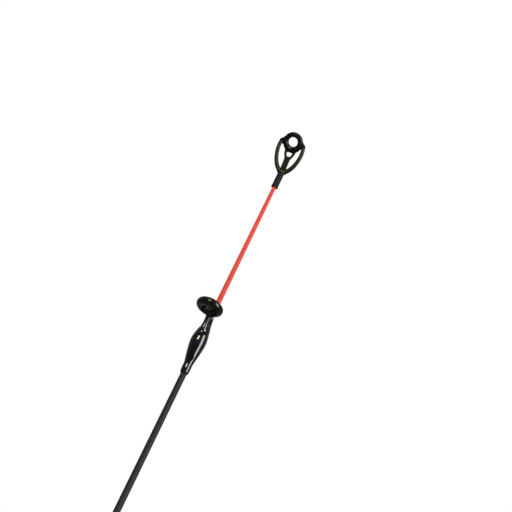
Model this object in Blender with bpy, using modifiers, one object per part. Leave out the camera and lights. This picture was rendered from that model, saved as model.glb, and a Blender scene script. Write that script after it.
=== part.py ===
"""Telescopic feeder rod with a push-in quiver tip, run in, standing on its butt.

The rod's axis is +Z, tip up, and the guides stand off towards -Y. The origin is the centre of the
butt cap's end face. Every size is in metres.
"""
import math

import bmesh
import bpy
from mathutils import Matrix, Vector

# Clearances
SEAT_GAP = 0.0003            # glue line or press seat between two pieces
SLIDE_GAP = 0.0003           # round a section inside the next larger one, and round the seat's hood
STACK_GAP = 0.0003           # between two collars that rest on each other
FINE_GAP = 0.00015           # round the ceramic rings and the small fittings of the tip

# Quiver tip: blank
TIP_LENGTH = 0.470           # from the socket's mouth to the centre of the tip-top ring
PLUG_LENGTH = 0.040          # of the blank that stands in the socket
PLUG_DIA = 0.0042            # parallel foot of the quiver tip
DARK_END_DIA = 0.0028        # dark blank where it enters the first guide's whipping
RED_BASE_DIA = 0.00235       # red end where it leaves that whipping
RED_END_DIA = 0.00164        # red end inside the tip-top tube
SPLICE_DIA = 0.0012          # spigot of the red end, inside the dark blank
SPLICE_LENGTH = 0.012
FERRULE_DIA = 0.0068         # stop ring that stands on the socket's mouth
FERRULE_LENGTH = 0.011

# Quiver tip: distances down from the centre of the tip-top ring
FIRST_GUIDE_DROP = 0.0903
SECOND_GUIDE_DROP = 0.218
THIRD_GUIDE_DROP = 0.350
TUBE_TOP_DROP = 0.0150

# Single-foot guides of the quiver tip
TIP_GUIDE_RING_DIA = 0.0128
TIP_GUIDE_BORE_DIA = 0.0044
TIP_GUIDE_HEIGHT = 0.0050    # of the thick ring, along the rod
TIP_GUIDE_CLEARANCE = 0.0010  # between the ring and the blank beside it
TIP_INSERT_WALL = 0.0011     # ceramic lining of the bore
NECK_DIA = 0.0027
FOOT_DIA = 0.0007
FOOT_START = 0.26            # share of the whipping's length below the foot's end
WHIPPING_LENGTH = 0.0271
WHIPPING_TOP_DROP = 0.0032   # from the ring's middle plane down to the whipping's upper end
WHIPPING_SWELL = 0.0022      # over the blank, at its thickest
WHIPPING_SWELL_SHIFT = 0.00135  # towards the guide's foot
WHIPPING_LIP = 0.00060       # how far its lower end stands proud of the blank
WHIPPING_TOP_LIP = 0.00035
# Shares of the whipping's length, of its swell and of its shift, from its lower end to its upper end
WHIPPING_SHAPE = ((0.0, 0.0, 0.05), (0.17, 0.12, 0.25), (0.38, 0.64, 0.65), (0.59, 1.0, 1.0),
                  (0.80, 0.50, 0.65), (0.92, 0.16, 0.2), (1.0, 0.0, 0.05))

# Tip-top
TIP_TUBE_DIA = 0.0030
TIP_TUBE_BORE = 0.0022
TIP_TUBE_LENGTH = 0.0082
TIP_RING_DIA = 0.0092
TIP_RING_BORE_DIA = 0.0044
TIP_RING_HEIGHT = 0.0028
TIP_RING_INSERT_WALL = 0.0010
TIP_RING_LEAN = math.radians(33)
TIP_RING_FORWARD = 0.0047    # of its centre, from the rod's axis
TIP_PLATE_THICKNESS = 0.0007
TIP_PLATE_SET_BACK = 0.00015  # of the stem, behind the rod's axis at the tube's mouth
TIP_STEM_WIDTH = 0.0027
TIP_STEM_FOOT_LENGTH = 0.0016  # of the stem inside the tube
TIP_FORK_WIDTH = 0.0055      # of the fork where it meets the ring
TIP_FORK_LENGTH = 0.0047     # from the stem to the ring's lower edge
TIP_FORK_ARM = 0.00125
TIP_WIRE_DIA = 0.0016
TIP_WIRE_SPREAD = 0.0117     # between the two legs' middles, at their widest
TIP_WIRE_WIDEST_DROP = 0.0041
TIP_EAR_START = 0.0011       # above the ring's centre, in the ring's plane

# Telescopic sections
SECTION_4_WALL = 0.0007
SECTION_3_WALL = 0.0007
SECTION_2_WALL = 0.0008
BUTT_WALL = 0.0009
SECTION_TAPER = 0.0024       # growth of a section's diameter over its length
SECTION_OVERLAP = 0.055      # that stays inside the next section when the rod is run out
BUTT_MOUTH_Z = 0.585

# Collar guides: one at each section's mouth, and two that slide on sections 3 and 4
BUTT_COLLAR_LENGTH = 0.026
SECTION_2_COLLAR_LENGTH = 0.022
LOWER_SLIDER_LENGTH = 0.014
SECTION_3_COLLAR_LENGTH = 0.020
UPPER_SLIDER_LENGTH = 0.012
SECTION_4_COLLAR_LENGTH = 0.018
COLLAR_WALL = 0.0013
BUTT_RING_BORE = 0.0210
SECTION_2_RING_BORE = 0.0170
LOWER_SLIDER_RING_BORE = 0.0150
SECTION_3_RING_BORE = 0.0132
UPPER_SLIDER_RING_BORE = 0.0116
SECTION_4_RING_BORE = 0.0100
RING_WALL = 0.0021           # from the bore to the holder's rim
RING_INSERT_WALL = 0.0009
RING_HEIGHT = 0.0026
RING_LEAN = math.radians(8)
RING_STAND_OFF = 0.0038      # free gap between collar and ring
GUIDE_WIRE_DIA = 0.0013
GUIDE_WEB_THICKNESS = 0.0014

# Handle
CAP_LENGTH = 0.026
CAP_DIA = 0.0312
CAP_FLOOR = 0.008
PAD_THICKNESS = 0.005
REAR_END_LENGTH = 0.040
REAR_END_DIA = 0.0298
REAR_GRIP_LENGTH = 0.168
GRIP_DIA = 0.0262
GRIP_SWELL = 0.0007
TRIM_RING_LENGTH = 0.004
TRIM_RING_DIA = 0.0268
SEAT_LENGTH = 0.124
SEAT_DIA = 0.0228
FORE_GRIP_LENGTH = 0.060
FORE_END_LENGTH = 0.016
WINDING_CHECK_LENGTH = 0.006

# Reel seat
HOOD_LENGTH = 0.022
HOOD_WALL = 0.0016
HOOD_LOBE_DIA = 0.0204
POCKET_DIA = 0.0172
POCKET_DEPTH = 0.014
POCKET_OFFSET = 0.0095       # of the pocket's middle from the rod's axis
FIXED_HOOD_START = 0.006     # above the seat's lower end
BED_START = 0.002            # from the inner end of the fixed hood's pocket
BED_REACH = 0.003            # into the closed sliding hood
BED_WIDTH = 0.012
BED_RISE = 0.0005
HOOD_TRAVEL = 0.021
NUT_END_GAP = 0.0067         # from the open lock nut to the seat's upper end
THREAD_PITCH = 0.0030
THREAD_DEPTH = 0.0007
KEYWAY_WIDTH = 0.004
KEYWAY_DEPTH = 0.0010
NUT_LENGTH = 0.012
NUT_WALL = 0.0030
NUT_LOBES = 12
NUT_LOBE_DEPTH = 0.0008

# Hook keeper and bindings
KEEPER_GAP = 0.0116          # from the winding check to the keeper's foot
KEEPER_WIRE_DIA = 0.0012
KEEPER_FOOT = 0.007
KEEPER_LOOP_LENGTH = 0.010
KEEPER_LOOP_HEIGHT = 0.0040
BINDING_WALL = 0.0004        # over the keeper's feet
MOUTH_BINDING_LENGTH = 0.014
MOUTH_BINDING_WALL = 0.0007

EDGE = 0.0006                # chamfers of grips, rings and hoods

# Facets round a turned piece
LARGE_STEPS = 24
MEDIUM_STEPS = 20
SMALL_STEPS = 16

# Colour, roughness and metallic value of each finish
FINISHES = {
    "matt carbon": ((0.026, 0.026, 0.028), 0.50, 0.0),
    "red lacquer": ((0.85, 0.070, 0.050), 0.30, 0.0),
    "black epoxy": ((0.008, 0.008, 0.009), 0.06, 0.0),
    "black frame": ((0.012, 0.012, 0.011), 0.22, 0.6),
    "black ceramic": ((0.015, 0.015, 0.016), 0.10, 0.0),
    "cork": ((0.56, 0.36, 0.19), 0.80, 0.0),
    "foam": ((0.020, 0.020, 0.021), 0.90, 0.0),
    "rubber": ((0.018, 0.018, 0.018), 0.75, 0.0),
    "aluminium": ((0.55, 0.56, 0.58), 0.28, 1.0),
    "seat nylon": ((0.022, 0.022, 0.024), 0.38, 0.0),
    "hood steel": ((0.42, 0.42, 0.44), 0.25, 1.0),
}


def clear_scene():
    for item in list(bpy.data.objects):
        bpy.data.objects.remove(item, do_unlink=True)


def collection(name):
    made = bpy.data.collections.new(name)
    bpy.context.scene.collection.children.link(made)
    return made


clear_scene()
PARTS = collection("feeder_rod")
CUTTERS = collection("cutters")


def mix(low, high, share):
    return low + (high - low) * share


def paint(item, finish):
    """Give an object a material of its own in one of the finishes."""
    colour, roughness, metallic = FINISHES[finish]
    material = bpy.data.materials.new(item.name + "_finish")
    material.use_nodes = True
    shader = material.node_tree.nodes["Principled BSDF"]
    shader.inputs["Base Color"].default_value = (*colour, 1.0)
    shader.inputs["Roughness"].default_value = roughness
    shader.inputs["Metallic"].default_value = metallic
    item.data.materials.append(material)


def keep(item, body, finish):
    """File an object as a piece of the rod and hang it on the empty of the body that it moves with."""
    PARTS.objects.link(item)
    item.location = Vector(item.location) - body.location
    item.parent = body
    paint(item, finish)
    return item


def as_cutter(item):
    CUTTERS.objects.link(item)
    item.hide_render = True
    item.display_type = "WIRE"
    return item


def body_frame(name, z):
    """The empty on a body's axis; it carries that body's pieces."""
    empty = bpy.data.objects.new(name, None)
    empty.location = (0.0, 0.0, z)
    empty.empty_display_size = 0.02
    PARTS.objects.link(empty)
    return empty


def turned(name, profile, steps, location=(0.0, 0.0, 0.0), lean=0.0, closed=True):
    """A turned piece. Its profile of (radius, height) runs down the outer side, then up the bore;
    an open profile starts and ends on the axis."""
    mesh = bpy.data.meshes.new(name)
    edges = [(i, i + 1) for i in range(len(profile) - 1)]
    if closed:
        edges.append((len(profile) - 1, 0))
    mesh.from_pydata([(radius, 0.0, height) for radius, height in profile], edges, [])
    item = bpy.data.objects.new(name, mesh)
    item.location = location
    item.rotation_euler = (lean, 0.0, 0.0)
    screw = item.modifiers.new("turn", "SCREW")
    screw.axis = "Z"
    screw.angle = 2.0 * math.pi
    screw.steps = steps
    screw.render_steps = steps
    screw.use_merge_vertices = True
    screw.merge_threshold = 0.00001
    screw.use_smooth_shade = True
    return item


def sleeve(name, outline, bore, steps, z):
    """A turned piece with a straight bore; its outline runs from the top to the bottom."""
    top, bottom = outline[0][1], outline[-1][1]
    profile = list(outline) + [(bore, bottom), (bore, top)]
    return turned(name, profile, steps, (0.0, 0.0, z))


def straight_outline(length, low, high, chamfer):
    """Outline of a ring or tapered sleeve with chamfered ends."""
    return [(high - chamfer, length), (high, length - chamfer), (low, chamfer), (low - chamfer, 0.0)]


def swelling_outline(length, low, high, swell, chamfer, count):
    """Outline of a grip: a taper with a swell in the middle and rounded ends."""
    points = [(high - chamfer, length)]
    for i in range(count + 1):
        share = 1.0 - i / count
        radius = mix(low, high, share) + swell * math.sin(math.pi * share)
        points.append((radius, mix(chamfer, length - chamfer, share)))
    points.append((low - chamfer, 0.0))
    return points


def smooth_path(stations, per_span):
    """Points of a smooth curve through the stations; each station may carry a radius too."""
    ends = [stations[0]] + list(stations) + [stations[-1]]
    path = []
    for i in range(1, len(ends) - 2):
        before, start, end, after = ends[i - 1:i + 3]
        for k in range(per_span):
            t = k / per_span
            path.append(tuple(
                0.5 * (2.0 * b + (c - a) * t + (2.0 * a - 5.0 * b + 4.0 * c - d) * t ** 2
                       + (3.0 * b - a - 3.0 * c + d) * t ** 3)
                for a, b, c, d in zip(before, start, end, after)))
    path.append(tuple(stations[-1]))
    return path


def wire_curve(name, path, resolution):
    """A round bar along a path of (x, y, z, radius)."""
    curve = bpy.data.curves.new(name, "CURVE")
    curve.dimensions = "3D"
    curve.bevel_depth = 1.0
    curve.bevel_resolution = resolution
    curve.use_fill_caps = True
    spline = curve.splines.new("POLY")
    spline.points.add(len(path) - 1)
    for point, (x, y, z, radius) in zip(spline.points, path):
        point.co = (x, y, z, 1.0)
        point.radius = radius
    return bpy.data.objects.new(name, curve)


def plate_curve(name, outlines, thickness):
    """A flat plate from closed outlines of (x, y); an outline inside another is a hole."""
    curve = bpy.data.curves.new(name, "CURVE")
    curve.dimensions = "2D"
    curve.fill_mode = "BOTH"
    curve.extrude = thickness / 2.0
    for outline in outlines:
        spline = curve.splines.new("POLY")
        spline.points.add(len(outline) - 1)
        spline.use_cyclic_u = True
        for point, (x, y) in zip(spline.points, outline):
            point.co = (x, y, 0.0, 1.0)
    return bpy.data.objects.new(name, curve)


def circle(radius, count, centre=(0.0, 0.0)):
    angles = [2.0 * math.pi * i / count for i in range(count)]
    return [(centre[0] + radius * math.cos(a), centre[1] + radius * math.sin(a)) for a in angles]


def solid_from(item):
    """A closed mesh from a curve object, with its caps welded and its faces pointing out."""
    CUTTERS.objects.link(item)
    bpy.context.view_layer.update()
    depsgraph = bpy.context.evaluated_depsgraph_get()
    mesh = bpy.data.meshes.new_from_object(item.evaluated_get(depsgraph))
    work = bmesh.new()
    work.from_mesh(mesh)
    bmesh.ops.remove_doubles(work, verts=work.verts, dist=0.000001)
    bmesh.ops.recalc_face_normals(work, faces=work.faces)
    work.to_mesh(mesh)
    work.free()
    name, place = item.name, item.matrix_world.copy()
    bpy.data.objects.remove(item, do_unlink=True)
    solid = bpy.data.objects.new(name, mesh)
    solid.matrix_world = place
    solid.data.shade_smooth()
    solid.data.set_sharp_from_angle(angle=math.radians(50))
    return solid


def bar(name, path, resolution=1):
    return solid_from(wire_curve(name, path, resolution))


def plate(name, outlines, thickness, location, turn):
    item = plate_curve(name, outlines, thickness)
    item.location = location
    item.rotation_euler = turn
    return solid_from(item)


def block(name, low, high):
    """A rectangular solid between two corners."""
    work = bmesh.new()
    bmesh.ops.create_cube(work, size=1.0)
    size = Vector(high) - Vector(low)
    bmesh.ops.scale(work, vec=size, verts=work.verts)
    bmesh.ops.translate(work, vec=(Vector(low) + Vector(high)) / 2.0, verts=work.verts)
    mesh = bpy.data.meshes.new(name)
    work.to_mesh(mesh)
    work.free()
    return bpy.data.objects.new(name, mesh)


def frustum(name, low_radius, high_radius, low_z, high_z, y, steps):
    """A cylinder or cone along Z, its axis y away from the rod's."""
    work = bmesh.new()
    bmesh.ops.create_cone(work, cap_ends=True, segments=steps, radius1=low_radius,
                          radius2=high_radius, depth=high_z - low_z)
    bmesh.ops.translate(work, vec=(0.0, y, (low_z + high_z) / 2.0), verts=work.verts)
    mesh = bpy.data.meshes.new(name)
    work.to_mesh(mesh)
    work.free()
    return bpy.data.objects.new(name, mesh)


def join(item, other):
    """Weld another solid onto a piece."""
    modifier = item.modifiers.new("join " + other.name, "BOOLEAN")
    modifier.operation = "UNION"
    modifier.solver = "EXACT"
    modifier.object = as_cutter(other)


def cut(item, other):
    modifier = item.modifiers.new("cut " + other.name, "BOOLEAN")
    modifier.operation = "DIFFERENCE"
    modifier.solver = "EXACT"
    modifier.object = as_cutter(other)


def ring_profile(bore, rim, seat, height, points, lining):
    """Half of an oval ring section, split at its seat: the ceramic lining inside, or the holder."""
    middle = (bore + rim) / 2.0
    half_wall = (rim - bore) / 2.0
    half_height = height / 2.0
    edge = seat - FINE_GAP if lining else seat
    turn = math.acos((edge - middle) / half_wall)
    if lining:
        angles = [mix(-turn, turn - 2.0 * math.pi, i / points) for i in range(points + 1)]
        start = [(edge, half_height * math.sin(turn))]
    else:
        angles = [mix(turn, -turn, i / points) for i in range(points + 1)]
        start = []
    return start + [(middle + half_wall * math.cos(a), half_height * math.sin(a)) for a in angles]


def ceramic_ring(name, body, bore, rim, seat, height, points, steps, centre, lean):
    profile = ring_profile(bore, rim, seat, height, points, lining=True)
    keep(turned(name, profile[:-1], steps, centre, lean), body, "black ceramic")


def ring_holder(name, bore, rim, seat, height, points, steps, centre, lean):
    profile = ring_profile(bore, rim, seat, height, points, lining=False)
    return turned(name, profile, steps, centre, lean)


# Diameters of the sections follow from the plug upwards in size, and heights from the butt upwards.
section_foot_z = CAP_FLOOR + SEAT_GAP + PAD_THICKNESS + STACK_GAP
section_2_collar_z = BUTT_MOUTH_Z + STACK_GAP
section_2_mouth_z = section_2_collar_z + SECTION_2_COLLAR_LENGTH
lower_slider_z = section_2_mouth_z + STACK_GAP
section_3_collar_z = lower_slider_z + LOWER_SLIDER_LENGTH + STACK_GAP
section_3_mouth_z = section_3_collar_z + SECTION_3_COLLAR_LENGTH
upper_slider_z = section_3_mouth_z + STACK_GAP
section_4_collar_z = upper_slider_z + UPPER_SLIDER_LENGTH + STACK_GAP
socket_z = section_4_collar_z + SECTION_4_COLLAR_LENGTH
tip_z = socket_z + TIP_LENGTH


def foot_dia(mouth_dia, mouth_z):
    return mouth_dia + SECTION_TAPER * (mouth_z - section_foot_z)


def mouth_dia(inner_dia, wall):
    return inner_dia + 2.0 * SLIDE_GAP + 2.0 * wall


section_4_dia = mouth_dia(PLUG_DIA, SECTION_4_WALL)
section_3_dia = mouth_dia(foot_dia(section_4_dia, socket_z), SECTION_3_WALL)
section_2_dia = mouth_dia(foot_dia(section_3_dia, section_3_mouth_z), SECTION_2_WALL)
butt_dia = mouth_dia(foot_dia(section_2_dia, section_2_mouth_z), BUTT_WALL)
butt_foot_z = CAP_FLOOR + SEAT_GAP

rear_end_z = CAP_LENGTH + SEAT_GAP
rear_grip_z = rear_end_z + REAR_END_LENGTH + SEAT_GAP
rear_trim_z = rear_grip_z + REAR_GRIP_LENGTH + SEAT_GAP
seat_z = rear_trim_z + TRIM_RING_LENGTH + SEAT_GAP
front_trim_z = seat_z + SEAT_LENGTH + SEAT_GAP
fore_grip_z = front_trim_z + TRIM_RING_LENGTH + SEAT_GAP
fore_end_z = fore_grip_z + FORE_GRIP_LENGTH + SEAT_GAP
winding_check_z = fore_end_z + FORE_END_LENGTH + SEAT_GAP
keeper_z = winding_check_z + WINDING_CHECK_LENGTH + KEEPER_GAP


def butt_radius(z):
    return (butt_dia + SECTION_TAPER * (BUTT_MOUTH_Z - z)) / 2.0


def blank_radius(drop):
    """Radius of the quiver tip's blank at a distance below the tip-top ring."""
    dark_drop = FIRST_GUIDE_DROP + WHIPPING_TOP_DROP + WHIPPING_LENGTH
    red_drop = FIRST_GUIDE_DROP + WHIPPING_TOP_DROP
    top_drop = TUBE_TOP_DROP + TIP_TUBE_LENGTH
    if drop >= red_drop + WHIPPING_LENGTH / 2.0:
        share = (drop - dark_drop) / (TIP_LENGTH - dark_drop)
        return mix(DARK_END_DIA, PLUG_DIA, share) / 2.0
    share = (drop - top_drop) / (red_drop - top_drop)
    return mix(RED_END_DIA, RED_BASE_DIA, share) / 2.0


def tube(name, body, foot_z, mouth_z, mouth_outer, wall, steps):
    """One tapered hollow section of the blank, standing open at both ends."""
    length = mouth_z - foot_z
    top = mouth_outer / 2.0
    foot = top + SECTION_TAPER * length / 2.0
    profile = [(top, length), (foot, 0.0), (foot - wall, 0.0), (top - wall, length)]
    keep(turned(name, profile, steps, (0.0, 0.0, foot_z)), body, "matt carbon")


def collar_guide(name, body, z, length, bore_dia, ring_bore, steps):
    """A guide on a collar: web and two bowed wires carry a ring holder with its ceramic lining."""
    bore = bore_dia / 2.0
    outer = bore + COLLAR_WALL
    ring_radius = ring_bore / 2.0
    rim = ring_radius + RING_WALL
    seat = ring_radius + RING_INSERT_WALL
    carry = (seat + rim) / 2.0
    stand_off = outer + RING_STAND_OFF + rim
    ring_z = z + 0.75 * length
    centre = (0.0, -stand_off, ring_z)
    outline = straight_outline(length, outer, outer, COLLAR_WALL / 4.0)
    frame = sleeve(name + "_frame", outline, bore, steps, z)
    keep(frame, body, "black frame")
    join(frame, ring_holder(name + "_holder", ring_radius, rim, seat, RING_HEIGHT, 6, steps,
                            centre, -RING_LEAN))
    root = outer - COLLAR_WALL / 3.0
    drop = RING_LEAN * carry
    web = [(root, z + 0.2 * length), (stand_off - carry, ring_z - drop - RING_HEIGHT / 3.0),
           (stand_off - carry, ring_z - drop + RING_HEIGHT / 3.0), (root, z + 0.85 * length)]
    turn = Matrix(((0, 0, -1), (-1, 0, 0), (0, 1, 0))).to_euler()
    join(frame, plate(name + "_web", [web], GUIDE_WEB_THICKNESS, (0.0, 0.0, 0.0), turn))
    wire = GUIDE_WIRE_DIA / 2.0
    for side in (-1.0, 1.0):
        start = Vector((side * root * math.sin(math.radians(40)),
                        -root * math.cos(math.radians(40)), z + 0.25 * length))
        end = Vector((side * carry, -stand_off, ring_z))
        bow = Vector((side * (carry + root) / 2.0, -stand_off / 2.0, z + 0.30 * length))
        path = []
        for i in range(6):
            t = i / 5
            place = start * (1 - t) ** 2 + bow * 2 * t * (1 - t) + end * t ** 2
            path.append((*place, wire))
        join(frame, bar(name + ("_wire_left" if side < 0 else "_wire_right"), path))
    ceramic_ring(name + "_ring", body, ring_radius, rim, seat, RING_HEIGHT, 5, steps, centre,
                 -RING_LEAN)


def tip_guide(name, body, drop):
    """A single-foot guide: thick ring on a neck, its foot held to the blank by a glossy whipping."""
    ring_z = tip_z - drop
    high_z = ring_z - WHIPPING_TOP_DROP
    low_z = high_z - WHIPPING_LENGTH
    bore = TIP_GUIDE_BORE_DIA / 2.0
    rim = TIP_GUIDE_RING_DIA / 2.0
    seat = bore + TIP_INSERT_WALL + FINE_GAP
    stand_off = blank_radius(drop) + TIP_GUIDE_CLEARANCE + rim
    centre = (0.0, -stand_off, ring_z)
    whipping_bore = blank_radius(tip_z - low_z) + FINE_GAP
    neck = NECK_DIA / 2.0
    foot = FOOT_DIA / 2.0
    middle = mix(foot, neck, 0.35)
    carry = stand_off - (seat + rim) / 2.0
    inner = whipping_bore + foot
    stations = [
        (0.0, -inner, mix(low_z, high_z, FOOT_START), foot),
        (0.0, -inner - middle + foot, mix(low_z, high_z, 0.65), middle),
        (0.0, -mix(inner, carry, 0.45), mix(low_z, high_z, 0.88), mix(foot, neck, 0.8)),
        (0.0, -mix(inner, carry, 0.85), high_z, neck),
        (0.0, -carry, ring_z - TIP_GUIDE_HEIGHT / 4.0, neck),
    ]
    frame = ring_holder(name + "_frame", bore, rim, seat, TIP_GUIDE_HEIGHT, 8, MEDIUM_STEPS,
                        centre, 0.0)
    keep(frame, body, "black epoxy")
    join(frame, bar(name + "_neck", smooth_path(stations, 2), 4))
    ceramic_ring(name + "_ring", body, bore, rim, seat, TIP_GUIDE_HEIGHT, 6, MEDIUM_STEPS, centre, 0.0)

    swell = whipping_bore - FINE_GAP + WHIPPING_SWELL
    low_lip = whipping_bore - FINE_GAP + WHIPPING_LIP
    high_lip = blank_radius(tip_z - high_z) + WHIPPING_TOP_LIP
    bulb = []
    for along, share, shift in WHIPPING_SHAPE:
        bulb.append((0.0, -WHIPPING_SWELL_SHIFT * shift, mix(low_z, high_z, along),
                     mix(mix(low_lip, high_lip, along), swell, share)))
    whipping = bar(name + "_whipping", smooth_path(bulb, 2), 4)
    keep(whipping, body, "black epoxy")
    # Its bore follows the blank, with the step where the red end is spliced in.
    middle_z = mix(low_z, high_z, 0.5)
    step_z = middle_z + FINE_GAP
    upper = blank_radius(tip_z - middle_z - FINE_GAP) + FINE_GAP
    lower = blank_radius(tip_z - middle_z) + FINE_GAP
    taper = [(0.0, high_z + high_lip), (high_lip - WHIPPING_TOP_LIP + FINE_GAP, high_z + high_lip),
             (upper, step_z), (lower, step_z), (whipping_bore, low_z - low_lip),
             (0.0, low_z - low_lip)]
    cut(whipping, turned(name + "_whipping_bore", taper, MEDIUM_STEPS, closed=False))
    stations[0] = (0.0, -inner, stations[0][2] - FINE_GAP, foot)
    groove = [(x, y, z, radius + FINE_GAP) for x, y, z, radius in smooth_path(stations, 2)]
    cut(whipping, bar(name + "_foot_groove", groove, 4))


# Bodies: each empty stands on the axis that its pieces move along or about.
handle = body_frame("handle", 0.0)
section_2 = body_frame("section_2", BUTT_MOUTH_Z)
section_3 = body_frame("section_3", section_2_mouth_z)
section_4 = body_frame("section_4", section_3_mouth_z)
lower_slider = body_frame("lower_sliding_guide", lower_slider_z)
upper_slider = body_frame("upper_sliding_guide", upper_slider_z)
quiver_tip = body_frame("quiver_tip", socket_z)


def make_quiver_tip():
    """Dark blank with the red end spliced in, the stop ring, and the guides."""
    splice_drop = FIRST_GUIDE_DROP + WHIPPING_TOP_DROP + WHIPPING_LENGTH / 2.0
    dark_drop = splice_drop + WHIPPING_LENGTH / 2.0
    dark_top = TIP_LENGTH - splice_drop
    socket_bore = SPLICE_DIA / 2.0 + FINE_GAP
    plug = PLUG_DIA / 2.0
    chamfer = plug / 4.0
    dark = [
        (0.0, dark_top - SPLICE_LENGTH), (socket_bore, dark_top - SPLICE_LENGTH),
        (socket_bore, dark_top), (blank_radius(splice_drop), dark_top),
        (DARK_END_DIA / 2.0, TIP_LENGTH - dark_drop), (plug, 0.0),
        (plug, chamfer - PLUG_LENGTH), (plug - chamfer, -PLUG_LENGTH), (0.0, -PLUG_LENGTH),
    ]
    item = turned("quiver_blank", dark, SMALL_STEPS, (0.0, 0.0, socket_z), closed=False)
    keep(item, quiver_tip, "matt carbon")

    red_top = TIP_LENGTH - TUBE_TOP_DROP - TIP_STEM_FOOT_LENGTH - STACK_GAP
    red_low = dark_top + FINE_GAP
    red_radius = blank_radius(splice_drop - FINE_GAP)
    spigot = SPLICE_DIA / 2.0
    edge = RED_END_DIA / 8.0
    red = [
        (0.0, red_top), (RED_END_DIA / 2.0 - edge, red_top), (RED_END_DIA / 2.0, red_top - edge),
        (RED_END_DIA / 2.0, TIP_LENGTH - TUBE_TOP_DROP - TIP_TUBE_LENGTH), (red_radius, red_low),
        (spigot, red_low), (spigot, dark_top - SPLICE_LENGTH + FINE_GAP),
        (0.0, dark_top - SPLICE_LENGTH + FINE_GAP),
    ]
    item = turned("quiver_red_end", red, SMALL_STEPS, (0.0, 0.0, socket_z), closed=False)
    keep(item, quiver_tip, "red lacquer")

    ferrule = FERRULE_DIA / 2.0
    outline = straight_outline(FERRULE_LENGTH, ferrule, plug + 2.0 * SEAT_GAP + WHIPPING_LIP,
                               WHIPPING_LIP / 2.0)
    item = sleeve("tip_ferrule", outline, plug + FINE_GAP, MEDIUM_STEPS, socket_z + STACK_GAP)
    keep(item, quiver_tip, "aluminium")

    tip_guide("tip_guide_1", quiver_tip, FIRST_GUIDE_DROP)
    tip_guide("tip_guide_2", quiver_tip, SECOND_GUIDE_DROP)
    tip_guide("tip_guide_3", quiver_tip, THIRD_GUIDE_DROP)


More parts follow.
